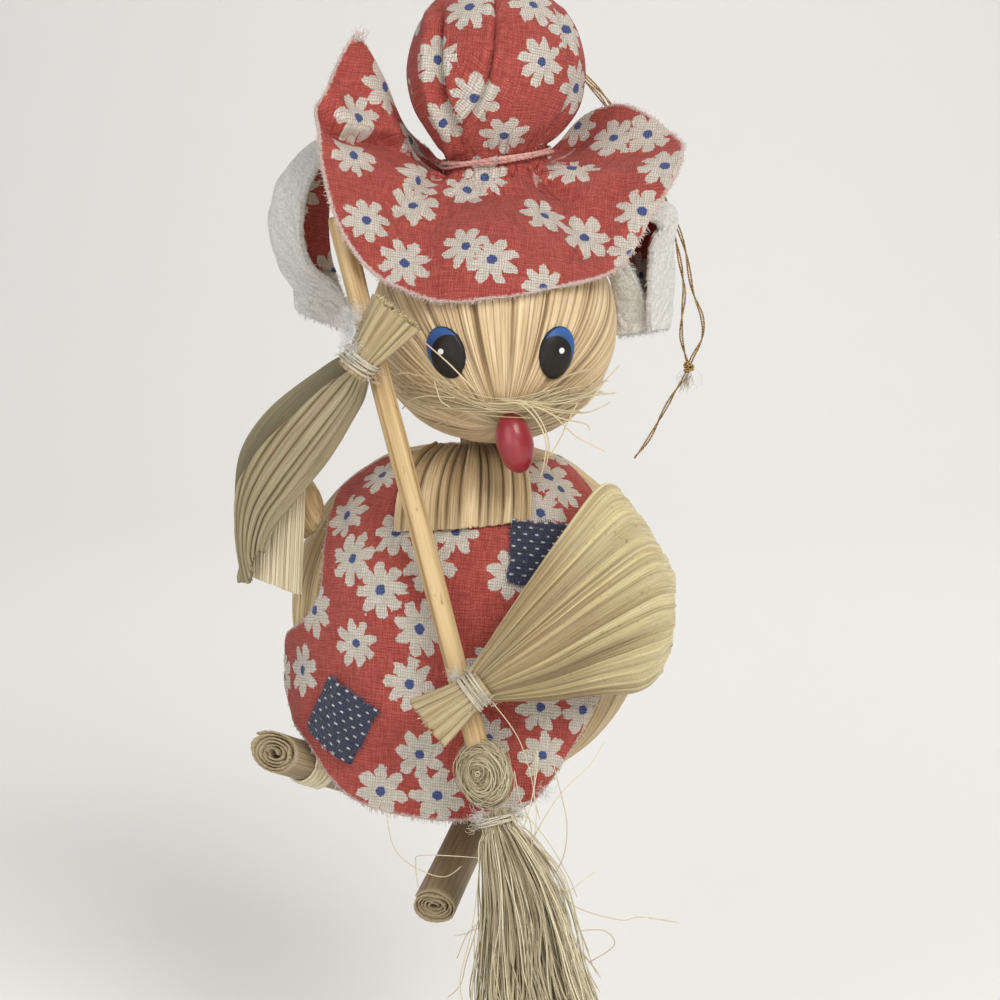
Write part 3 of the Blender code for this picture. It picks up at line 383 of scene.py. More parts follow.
def noise1(places, seed, period=None):
    """Smooth noise from 0 to 1 along a line, with a random value at each whole number."""
    table = np.random.default_rng(seed).random(1024)
    places = np.asarray(places, float)
    start = np.floor(places).astype(int)
    part = places - start
    part = part * part * (3 - 2 * part)
    end = start + 1
    if period:
        start, end = start % period, end % period
    return table[start % 1024] * (1 - part) + table[end % 1024] * part


def noise2(across, down, seed):
    """Smooth noise from 0 to 1 on a plane."""
    table = np.random.default_rng(seed).random((256, 256))
    across, down = np.broadcast_arrays(np.asarray(across, float), np.asarray(down, float))
    i, j = np.floor(across).astype(int), np.floor(down).astype(int)
    s, t = across - i, down - j
    s, t = s * s * (3 - 2 * s), t * t * (3 - 2 * t)
    low = table[i % 256, j % 256] * (1 - s) + table[(i + 1) % 256, j % 256] * s
    high = table[i % 256, (j + 1) % 256] * (1 - s) + table[(i + 1) % 256, (j + 1) % 256] * s
    return low * (1 - t) + high * t


def rib_heights(across, seed, period=None):
    """Heights from 0 to 1 of husk ribs, one a unit: rounded, uneven, with narrow valleys."""
    across = np.asarray(across, float)
    shifted = across + 0.7 * (noise1(across, seed, period) - 0.5)
    phase = shifted - np.floor(shifted)
    arch = np.sin(np.pi * phase) ** 0.55
    rng = np.random.default_rng(seed + 1)
    table = 0.45 + 0.55 * rng.random(1024)
    index = np.floor(shifted).astype(int)
    return arch * table[(index % period if period else index) % 1024]


def around(centre, reach, azimuth, polar):
    """Points at a reach from a centre, turned from the front and from the top."""
    azimuth, polar, reach = np.broadcast_arrays(azimuth, polar, reach)
    flat = np.sin(polar)
    toward = np.stack([flat * np.sin(azimuth), -flat * np.cos(azimuth), np.cos(polar)], -1)
    return centre + toward * reach[..., None]


MUZZLE = around(vec(0, 0, 0), 1.0, muzzle_azimuth, muzzle_polar)


def head_point(toward, lift=0.0):
    """A point over the head's husk in a unit direction from its centre."""
    polar = np.arccos(np.clip(toward[..., 2], -1, 1))
    chin = np.exp(-((math.pi - polar) / flattening_spread) ** 2)
    drawn = np.exp(-(np.arccos(np.clip(toward @ MUZZLE, -1, 1)) / muzzle_spread) ** 2)
    reach = head_radius * (1 - head_chin_share * chin) + muzzle_reach * drawn + lift
    return HEAD + toward * reach[..., None]


def on_head(azimuth, polar, lift=0.0):
    return head_point(around(vec(0, 0, 0), 1.0, azimuth, polar), lift)


def on_body(azimuth, polar, lift=0.0):
    flat = body_top_share * np.exp(-(np.asarray(polar) / flattening_spread) ** 2)
    return around(BODY, body_radius * (1 - flat) + lift, azimuth, polar)


def on_apron(azimuth, height, lift=0.0):
    """A point over the apron, which follows the body to its widest line and hangs below it."""
    azimuth, height = np.broadcast_arrays(np.asarray(azimuth, float), np.asarray(height, float))
    below = np.maximum(0.0, -height / body_radius)
    wave = 0.5 - 0.5 * np.cos(6 * azimuth + 1)
    lift = lift + 1.5 * seat_gap + cloth_thickness / 2 + below * (apron_flare + apron_wave * wave * 2)
    point = on_body(azimuth, math.pi / 2 - np.maximum(height, 0) / body_radius, lift)
    return point + np.minimum(height, 0)[..., None] * vec(0, 0, 1)


def frame_along(direction, side=None):
    """Two unit vectors square to a direction, the first as level as it can be."""
    ahead = unit(direction)
    level = vec(*side) if side is not None else np.cross(vec(0, 0, 1), ahead)
    level = unit(level - ahead * (level @ ahead))
    return level, np.cross(ahead, level)


def carried_frames(path):
    """Unit vectors square to each point of a path, turned as little as they can be."""
    ahead = unit(np.gradient(path, axis=0))
    level = np.empty_like(path)
    last = np.cross(ahead[0], vec(*np.eye(3)[np.argmin(np.abs(ahead[0]))]))
    for index, direction in enumerate(ahead):
        last = last - direction * (last @ direction)
        last = last / max(np.linalg.norm(last), 1e-9)
        level[index] = last
    return level, np.cross(ahead, level)


def tube_grid(path, radius, sides):
    """Rings of points round a path, drawn in at both ends."""
    level, upright = carried_frames(path)
    radius = np.full(len(path), radius, float)
    radius[[0, -1]] *= 0.1
    angle = -TURN * np.arange(sides) / sides
    ring = level[:, None] * np.cos(angle)[:, None] + upright[:, None] * np.sin(angle)[:, None]
    return path[:, None] + ring * radius[:, None, None]


class Batch:
    """Grids of points that become one mesh, with their Surface and Relief layers."""

    def __init__(self):
        self.points, self.faces, self.surface, self.relief = [], [], [], []
        self.count = 0

    def add(self, grid, surface, relief=None, closed=False):
        """Surface holds millimetres across and along; relief holds a height and an edge's distance. Husk
        paints darken low heights as painted shade, and read the second number as a painted shade level.
        """
        rows, columns = grid.shape[:2]
        index = np.arange(rows * columns).reshape(rows, columns) + self.count
        here, beside = (index, np.roll(index, -1, 1)) if closed else (index[:, :-1], index[:, 1:])
        self.faces.append(np.stack([here[:-1], here[1:], beside[1:], beside[:-1]], -1).reshape(-1, 4))
        if relief is None:
            relief = np.broadcast_to(vec(0.5, 9), surface.shape)
        for store, layer in ((self.surface, surface), (self.relief, relief)):
            left, right = layer[:, :-1], layer[:, 1:]
            store.append(np.stack([left[:-1], left[1:], right[1:], right[:-1]], -2).reshape(-1, 2))
        self.points.append(grid.reshape(-1, 3))
        self.count += rows * columns

    def add_fibre(self, path, radius, tone, sides=3):
        """One fibre; its tone from 0 to 1 takes the place of the distance across."""
        along = travelled(path)
        shape = (len(path), sides + 1)
        surface = np.stack([np.broadcast_to(tone, shape), np.broadcast_to(along[:, None], shape)], -1)
        self.add(tube_grid(path, radius, sides), surface, closed=True)

    def mesh(self, name, weld=False):
        points, faces = np.concatenate(self.points), np.concatenate(self.faces)
        mesh = bpy.data.meshes.new(name)
        mesh.vertices.add(len(points))
        mesh.vertices.foreach_set("co", (points * MM).astype(np.float32).ravel())
        mesh.loops.add(faces.size)
        mesh.loops.foreach_set("vertex_index", faces.astype(np.int32).ravel())
        mesh.polygons.add(len(faces))
        mesh.polygons.foreach_set("loop_start", np.arange(0, faces.size, 4, dtype=np.int32))
        mesh.update(calc_edges=True)
        for layer, values in (("Surface", self.surface), ("Relief", self.relief)):
            uv = mesh.uv_layers.new(name=layer)
            uv.data.foreach_set("uv", np.concatenate(values).astype(np.float32).ravel())
        if weld:
            shape = bmesh.new()
            shape.from_mesh(mesh)
            bmesh.ops.remove_doubles(shape, verts=shape.verts, dist=1e-6)
            shape.to_mesh(mesh)
            shape.free()
        mesh.shade_smooth()
        return mesh

    def piece(self, name, finish, body="doll", nodes=(), weld=False):
        item = bpy.data.objects.new(name, self.mesh(name, weld))
        bpy.context.scene.collection.objects.link(item)
        item.data.materials.append(finish)
        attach(item, body)
        if nodes:
            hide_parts(*nodes)
        return item


def thicken(item, thickness, offset=-1.0):
    wall = item.modifiers.new("Wall", "SOLIDIFY")
    wall.thickness = thickness * MM
    wall.offset = offset


def flat_surface(grid):
    """Millimetres across from the middle column, and down from the first row, for each point."""
    steps = np.linalg.norm(np.diff(grid, axis=1), axis=2)
    across = np.concatenate([np.zeros((len(grid), 1)), np.cumsum(steps, 1)], 1)
    across -= across[:, [across.shape[1] // 2]]
    steps = np.linalg.norm(np.diff(grid, axis=0), axis=2)
    down = np.concatenate([np.zeros((1, grid.shape[1])), np.cumsum(steps, 0)], 0)
    return np.stack([across, down], -1)


def fibre_surface(grid, start=0.0):
    """The same, with the distance across kept along each column, so that fibres follow it."""
    surface = flat_surface(grid)
    width = np.linalg.norm(np.diff(grid, axis=1), axis=2).sum(1).max()
    surface[..., 0] = start + np.linspace(0, width, grid.shape[1])
    return surface


def layer_of(first, second=9.0):
    """Two numbers for each point, as a layer holds them."""
    return np.stack(np.broadcast_arrays(first, second), -1)


def joined(grid):
    """A closed grid with its first column once more at its end."""
    return np.concatenate([grid, grid[:, :1]], 1)


class Level:
    """A node's output, with arithmetic that adds maths nodes."""

    def __init__(self, paint, socket):
        self.paint, self.socket = paint, socket

    def __add__(self, other):
        return self.paint.math("ADD", self, other)

    def __sub__(self, other):
        return self.paint.math("SUBTRACT", self, other)

    def __mul__(self, other):
        return self.paint.math("MULTIPLY", self, other)

    def __truediv__(self, other):
        return self.paint.math("DIVIDE", self, other)

    def __pow__(self, other):
        return self.paint.math("POWER", self, other)

    def __abs__(self):
        return self.paint.math("ABSOLUTE", self)


class Paint:
    """A material's nodes, each made by a call that returns its output as a level."""

    def __init__(self, name, roughness, **levels):
        self.material = bpy.data.materials.new(name)
        self.material.use_nodes = True
        self.tree = self.material.node_tree
        self.shader = self.tree.nodes["Principled BSDF"]
        self.shader.inputs["Roughness"].default_value = roughness
        for socket, level in levels.items():
            self.shader.inputs[socket.replace("_", " ")].default_value = level

    def put(self, socket, value):
        if isinstance(value, Level):
            self.tree.links.new(value.socket, socket)
        elif hasattr(value, "__len__") and socket.type == "RGBA":
            socket.default_value = (*value[:3], 1)
        else:
            socket.default_value = value

    def node(self, kind, inputs, output=0, **settings):
        made = self.tree.nodes.new("ShaderNode" + kind)
        for setting, value in settings.items():
            setattr(made, setting, value)
        for key, value in inputs.items():
            self.put(made.inputs[key], value)
        return Level(self, made.outputs[output])

    def math(self, operation, *values):
        return self.node("Math", dict(enumerate(values)), operation=operation)

    def distance(self, first, second):
        return self.math("SQRT", first * first + second * second)

    def layer(self, name):
        """The two numbers of a UV layer."""
        split = self.tree.nodes.new("ShaderNodeSeparateXYZ")
        self.put(split.inputs[0], self.node("UVMap", {}, uv_map=name))
        return Level(self, split.outputs[0]), Level(self, split.outputs[1])

    def surface(self):
        """The distances across and along, which grain follows from here on."""
        self.across, self.along = self.layer("Surface")
        return self.across, self.along

    def grain(self, across_scale, along_scale, detail=2.0, roughness=0.5):
        """Noise on the surface, with so many lumps to the millimetre across and along."""
        place = self.node("CombineXYZ", {0: self.across * across_scale, 1: self.along * along_scale})
        inputs = {"Vector": place, "Scale": 1.0, "Detail": detail, "Roughness": roughness}
        return self.node("TexNoise", inputs)

    def band(self, value, low, high):
        """0 below low, 1 above high and smooth between them; high may be the lower one."""
        return self.node("MapRange", {0: value, 1: low, 2: high}, interpolation_type="SMOOTHSTEP")

    def mix(self, share, first, second):
        return self.node("Mix", {0: share, 6: first, 7: second}, output=2, data_type="RGBA")

    def bump(self, height, distance, normal=None):
        inputs = {"Height": height, "Distance": distance * MM}
        if normal is not None:
            inputs["Normal"] = normal
        return self.node("Bump", inputs)

    def done(self, colour, normal=None, roughness=None):
        self.put(self.shader.inputs["Base Color"], colour)
        if normal is not None:
            self.put(self.shader.inputs["Normal"], normal)
        if roughness is not None:
            self.put(self.shader.inputs["Roughness"], roughness)
        return self.material


def husk_paint(name, pale, tan, specks=0.68, relief=1.0, broad=0.5):
    """Dry husk: fine fibres and veins along its length, broad tone and brown specks, with painted shade in
    the rib valleys and where the shade number is low.
    """
    paint = Paint(name, 0.55, Sheen_Weight=0.1, Sheen_Roughness=0.5)
    paint.surface()
    height, shade = paint.layer("Relief")
    fine = paint.grain(7.0, 0.16, 3.0)
    veins = paint.grain(1.9, 0.035)
    tone = paint.grain(0.16, 0.05)
    share = fine * 0.5 + veins * 0.5 + (tone - 0.5) * broad
    colour = paint.mix(paint.band(share, 0.3, 0.66), tan, pale)
    spots = paint.band(paint.grain(2.3, 0.9, 3.0, 0.7), specks, specks + 0.1)
    colour = paint.mix(spots * 0.6, colour, (0.22, 0.12, 0.05))
    # painted shade: where the relief height is low, in the valleys between ribs, the colour darkens; relief
    # sets how strong
    valley_shade = paint.band(height, 0.58, 0.08)
    colour = paint.mix(valley_shade * (0.75 * relief), colour, (0.2, 0.115, 0.045))
    colour = paint.mix(paint.band(height, 1.05, 1.5), colour, (0.4, 0.31, 0.18))
    # painted shade: where the shade number falls below 1, as on the left sleeve's back part, the colour
    # darkens
    colour = paint.mix(paint.band(shade, 1.0, 0.0) * 0.85, colour, (0.13, 0.1, 0.045))
    normal = paint.bump(veins, 0.16, paint.bump(fine, 0.09))
    return paint.done(colour, normal, paint.band(fine, 0.9, 0.1) * 0.3 + 0.4)


def plain_weave(paint, threads):
    """A plain weave's height and its slubs, with so many threads to the millimetre."""
    sway = paint.grain(0.9, 0.9) * 0.5 + paint.grain(2.6, 2.6) * 0.22
    warp = abs(paint.math("SINE", (paint.across + sway) * (math.pi * threads)))
    weft = abs(paint.math("SINE", (paint.along - sway) * (math.pi * threads * 0.82)))
    slubs = paint.grain(threads * 1.1, 0.35) + paint.grain(0.35, threads * 1.1)
    return warp ** 0.7 * weft ** 0.7, slubs * 0.5


def cotton_paint(name, reverse=False):
    """Thin cotton printed with pale many-petalled flowers, each with a blue middle, on red."""
    paint = Paint(name, 0.92, Sheen_Weight=0.05, Sheen_Roughness=0.6)
    paint.surface()
    _, edge = paint.layer("Relief")
    side, up = paint.layer("Flower")
    weave, slubs = plain_weave(paint, 3.1)
    kind = paint.math("FLOOR", side * 0.1 + 0.5)
    side = side - kind * 10.0
    wobble = paint.grain(0.7, 0.7, 1.0)
    reach = paint.distance(side, up)
    turn = paint.math("ARCTAN2", up, side) + (wobble - 0.5) * 0.5
    petals = kind + 7.0
    lobes = abs(paint.math("COSINE", turn * (petals * 0.5)))
    ragged = paint.grain(2.2, 2.2)
    broad = paint.grain(0.55, 0.55, 1.0)
    outline = lobes ** 0.65 * 0.54 + 0.44 + (ragged - 0.5) * 0.22 + (broad - 0.5) * 0.34
    petal = paint.band(outline - reach, -0.02, 0.03)
    middle = paint.band(reach + ragged * 0.14, 0.27, 0.23)
    red = paint.mix(paint.band(slubs, 0.3, 0.7), (0.33, 0.042, 0.032), (0.56, 0.115, 0.085))
    red = paint.mix(paint.band(weave, 0.5, 0.1) * 0.5, red, (0.22, 0.018, 0.016))
    cream = paint.mix(paint.band(slubs, 0.3, 0.7), (0.58, 0.51, 0.43), (0.8, 0.74, 0.65))
    cream = paint.mix(paint.band(weave, 0.5, 0.08) * 0.75, cream, (0.36, 0.29, 0.25))
    blue = paint.mix(paint.band(weave, 0.6, 0.1), (0.075, 0.11, 0.3), (0.03, 0.035, 0.1))
    colour = paint.mix(middle, paint.mix(petal, red, cream), blue)
    worn = paint.band(edge + ragged * 0.9, 0.95, 0.45)
    colour = paint.mix(worn * 0.85, colour, (0.72, 0.62, 0.55))
    if reverse:
        colour = paint.mix(0.45, colour, (0.72, 0.5, 0.45))
    return paint.done(colour, paint.bump(weave + slubs, 0.12))


def denim_paint():
    """Navy cloth of a coarse weave with short white stitches in staggered rows."""
    paint = Paint("denim_weave", 0.9, Sheen_Weight=0.2)
    across, along = paint.surface()
    weave, slubs = plain_weave(paint, 1.9)
    row = along * 1.08
    place = paint.math("FRACT", across * 0.62 + paint.math("FLOOR", row) * 0.5)
    length = paint.band(abs(place - 0.5), 0.2, 0.1)
    dash = length * paint.band(abs(paint.math("FRACT", row) - 0.5), 0.17, 0.08)
    shown = paint.band(paint.grain(1.3, 1.3), 0.36, 0.5)
    navy = paint.mix(slubs, (0.012, 0.014, 0.036), (0.05, 0.056, 0.115))
    navy = paint.mix(paint.band(weave, 0.5, 0.1) * 0.6, navy, (0.012, 0.013, 0.03))
    colour = paint.mix(dash * shown, navy, (0.6, 0.6, 0.62))
    return paint.done(colour, paint.bump(weave + slubs + dash * 0.6, 0.2))


def fleece_paint():
    """White brushed fabric with a soft nap."""
    paint = Paint("fleece_nap", 0.95, Sheen_Weight=0.5, Sheen_Roughness=0.4)
    paint.surface()
    nap = paint.grain(3.2, 3.2, 5.0, 0.7)
    curls = paint.grain(1.1, 1.1, 3.0)
    colour = paint.mix(paint.band(nap, 0.3, 0.62), (0.57, 0.55, 0.5), (0.88, 0.87, 0.82))
    colour = paint.mix(paint.band(curls, 0.6, 0.8) * 0.3, colour, (0.62, 0.56, 0.45))
    return paint.done(colour, paint.bump(curls, 0.4, paint.bump(nap, 0.3)))


def fibre_paint(name, dark, pale, roughness=0.5):
    """Loose fibres, each of its own tone."""
    paint = Paint(name, roughness, Sheen_Weight=0.1)
    tone, _ = paint.surface()
    patch = paint.grain(40.0, 0.5)
    return paint.done(paint.mix(tone * 0.7 + patch * 0.3, dark, pale), paint.bump(patch, 0.05))


def wood_paint():
    """A peeled twig: light wood with darker streaks along it."""
    paint = Paint("twig_wood", 0.55)
    paint.surface()
    streaks = paint.grain(1.6, 0.03, 3.0)
    fine = paint.grain(9.0, 0.12, 3.0)
    spots = paint.grain(0.9, 0.35)
    colour = paint.mix(paint.band(streaks, 0.3, 0.62), (0.4, 0.235, 0.09), (0.68, 0.49, 0.25))
    colour = paint.mix(paint.band(fine, 0.55, 0.75) * 0.4, colour, (0.3, 0.17, 0.07))
    colour = paint.mix(paint.band(spots, 0.66, 0.74) * 0.7, colour, (0.3, 0.1, 0.05))
    return paint.done(colour, paint.bump(streaks, 0.15, paint.bump(fine, 0.06)))


def eye_paint():
    """A glossy oval: near-black, with a blue cap and a small white glint printed on it."""
    paint = Paint("eye_gloss", 0.38, Specular_IOR_Level=0.2)
    side, up = paint.surface()
    glint_side, glint_up = paint.layer("Relief")
    black = paint.distance((side - 0.24) / 1.08, (up + 0.42) / 1.04)
    blue = paint.mix(paint.band(black, 1.0, 1.5), (0.045, 0.1, 0.27), (0.05, 0.15, 0.46))
    dark = paint.mix(paint.grain(3.0, 3.0), (0.012, 0.01, 0.009), (0.03, 0.024, 0.02))
    colour = paint.mix(paint.band(black, 0.985, 1.015), dark, blue)
    rim = paint.band(paint.distance(side, up), 0.93, 1.0)
    colour = paint.mix(rim, colour, (0.02, 0.02, 0.03))
    glint = paint.band(paint.distance(glint_side, glint_up), 1.05, 0.85)
    return paint.done(paint.mix(glint, colour, (0.85, 0.85, 0.82)))


def bead_paint():
    """A crimson satin bead, a little scuffed."""
    paint = Paint("bead_satin", 0.3, Coat_Weight=0.35, Coat_Roughness=0.15)
    paint.surface()
    clouds = paint.grain(0.5, 0.5, 3.0)
    scuffs = paint.grain(5.0, 2.0, 4.0, 0.7)
    colour = paint.mix(clouds, (0.24, 0.012, 0.02), (0.38, 0.03, 0.038))
    colour = paint.mix(paint.band(scuffs, 0.62, 0.8) * 0.3, colour, (0.7, 0.2, 0.2))
    return paint.done(colour, paint.bump(scuffs, 0.02), scuffs * 0.25 + 0.2)


def gold_paint():
    """Metallic thread: a bright foil wrap with darker dips."""
    paint = Paint("gold_foil", 0.28, Metallic=1.0)
    tone, along = paint.surface()
    wraps = paint.math("SINE", along * 17.0 + tone * 3.0)
    spark = paint.grain(6.0, 2.4)
    colour = paint.mix(paint.band(wraps, -0.8, 0.6), (0.4, 0.24, 0.09), (0.8, 0.55, 0.24))
    dip = paint.mix(0.6, colour, (0.12, 0.06, 0.02))
    colour = paint.mix(paint.band(spark, 0.3, 0.65), dip, colour)
    return paint.done(colour, paint.bump(wraps + spark * 2.0, 0.05), spark * 0.4 + 0.12)


def foam_paint():
    """Pale closed-cell foam of the hidden cores."""
    paint = Paint("core_foam", 0.8)
    place = paint.node("TexCoord", {}, output=3)
    cells = paint.node("TexVoronoi", {"Vector": place, "Scale": 900.0})
    colour = paint.mix(paint.band(cells, 0.1, 0.7), (0.86, 0.85, 0.8), (0.7, 0.69, 0.64))
    return paint.done(colour, paint.bump(cells, 0.2))


class Sight:
    """Casts pixels of the photograph onto a mesh."""

    def __init__(self, item):
        mesh = item.data
        points = np.empty(len(mesh.vertices) * 3, np.float32)
        mesh.vertices.foreach_get("co", points)
        self.points = points.reshape(-1, 3).astype(float) / MM
        self.tree = BVHTree.FromPolygons([Vector(p) for p in self.points],
                                         [tuple(f.vertices) for f in mesh.polygons])

    def cast(self, pixel):
        place, normal, _, _ = self.tree.ray_cast(Vector(camera_place), Vector(sight(pixel)))
        if place is None:
            return None
        normal = np.array(normal)
        return np.array(place), normal * (1 if normal @ camera_back > 0 else -1)


def paint_flowers(item, pixels, spacing, seed):
    """Gives each face its nearest flower: its corners hold their place on it, in flower radii."""
    rng = np.random.default_rng(seed)
    view = Sight(item)
    mesh = item.data
    faces = np.array([f.vertices[:] for f in mesh.polygons if len(f.vertices) == 4])
    centres, normals = [], []
    for pixel in pixels:
        found = view.cast(pixel)
        if found is not None:
            centres.append(found[0])
            normals.append(found[1])
    middles = view.points[faces].mean(1)
    corners = view.points[faces]
    outward = unit(np.cross(corners[:, 2] - corners[:, 0], corners[:, 3] - corners[:, 1]))
    for index in rng.permutation(len(middles))[:6000]:
        gap = min((np.linalg.norm(centre - middles[index]) for centre in centres), default=spacing * 2)
        if gap > spacing * rng.uniform(0.9, 1.15):
            centres.append(middles[index])
            normals.append(outward[index])
    centres, normals = np.array(centres), np.array(normals)
    radii = rng.uniform(3.3, 4.1, len(centres))
    turns = rng.uniform(0, TURN, len(centres))
    kinds = rng.integers(0, 2, len(centres))
    level = unit(np.cross(vec(0.1, 0.25, 1), normals))
    upright = np.cross(normals, level)
    flower = np.empty((len(mesh.loops), 2), np.float32)
    surface = np.empty((len(mesh.loops), 2), np.float32)
    vertex_of = np.empty(len(mesh.loops), np.int32)
    mesh.loops.foreach_get("vertex_index", vertex_of)
    starts = np.array([f.loop_start for f in mesh.polygons])
    totals = np.array([f.loop_total for f in mesh.polygons])
    face_middles = np.add.reduceat(view.points[vertex_of], starts) / totals[:, None]
    nearest = np.empty(len(starts), int)
    for first in range(0, len(starts), 4000):
        gaps = np.linalg.norm(face_middles[first:first + 4000, None] - centres[None], axis=2)
        nearest[first:first + 4000] = np.argmin(gaps / radii[None], axis=1)
    owner = np.repeat(nearest, totals)
    offset = view.points[vertex_of] - centres[owner]
    flat = np.stack([(offset * level[owner]).sum(1), (offset * upright[owner]).sum(1)], 1)
    height = np.abs((offset * normals[owner]).sum(1))
    stretch = np.linalg.norm(offset, axis=1) / np.maximum(np.linalg.norm(flat, axis=1), 1e-6)
    flat = flat * np.minimum(stretch, 1.6)[:, None]
    cosine, sine = np.cos(turns[owner]), np.sin(turns[owner])
    flower[:, 0] = (flat[:, 0] * cosine - flat[:, 1] * sine) / radii[owner] + 10 * kinds[owner]
    flower[:, 1] = (flat[:, 0] * sine + flat[:, 1] * cosine) / radii[owner]
    flower[height > 3.5] = 4.0
    surface[:, 0] = (view.points[vertex_of] * level[owner]).sum(1)
    surface[:, 1] = (view.points[vertex_of] * upright[owner]).sum(1)
    mesh.uv_layers["Surface"].data.foreach_set("uv", surface.ravel())
    mesh.uv_layers.new(name="Flower").data.foreach_set("uv", flower.ravel())


def fold_lift(grid, folds):
    """Heights that press the drawn folds into a grid, as the camera sees it."""
    seen = pixel_of(grid)
    lift = np.zeros(grid.shape[:2])
    for points, depth, half, left, right in folds:
        line = smooth_line(np.array(points, float), 48)
        ahead = np.gradient(line, axis=0)
        gaps = np.linalg.norm(seen[:, :, None] - line, axis=3)
        nearest = gaps.argmin(2)
        gap = gaps.min(2) / half
        off, along = seen - line[nearest], ahead[nearest]
        beside = along[..., 0] * off[..., 1] - along[..., 1] * off[..., 0]
        lip = np.where(beside > 0, left, right) * np.exp(-((gap - 2.2) / 1.3) ** 2)
        taper = np.sin(math.pi * (nearest + 1) / 50) ** 0.4
        lift += taper * (lip - depth * np.exp(-gap ** 2))
    return lift


def fray(batch, edge, inward, length, density, rng, radius=0.05):
    """Loose thread ends along a cut edge, which point away from the cloth."""
    count = int(line_length(edge) * density)
    places = np.sort(rng.uniform(0, len(edge) - 1, count))
    index = np.clip(places.astype(int), 0, len(edge) - 2)
    part = (places - index)[:, None]
    start = edge[index] * (1 - part) + edge[index + 1] * part
    back = inward[index]
    out = unit(start - back)
    for k in range(count):
        reach = length * rng.uniform(0.3, 1.0) ** 1.5
        bend = rng.normal(0, 0.35, 3) * reach
        tip = start[k] + out[k] * reach + bend
        middle = start[k] + out[k] * reach * 0.55 + rng.normal(0, 0.16, 3) * reach
        path = smooth_line(np.array([start[k] - out[k] * 0.3, start[k], middle, tip]), 6)
        batch.add_fibre(path, radius * rng.uniform(0.7, 1.4), rng.random())


def lean_hat(points):
    """Draws the hat's neck together in height, and leans it up to the right."""
    off = points - HAT_NECK
    near = np.exp(-np.maximum(0, np.linalg.norm(off[..., :2], axis=-1) - 8) / 3)
    rise = -0.5 * off[..., 2] * np.exp(-(off[..., 2] / 2.6) ** 2)
    lean = 0.13 * off[..., 0] * np.exp(-(off[..., 2] / 5) ** 2)
    return points + ((rise + lean) * near)[..., None] * vec(0, 0, 1)


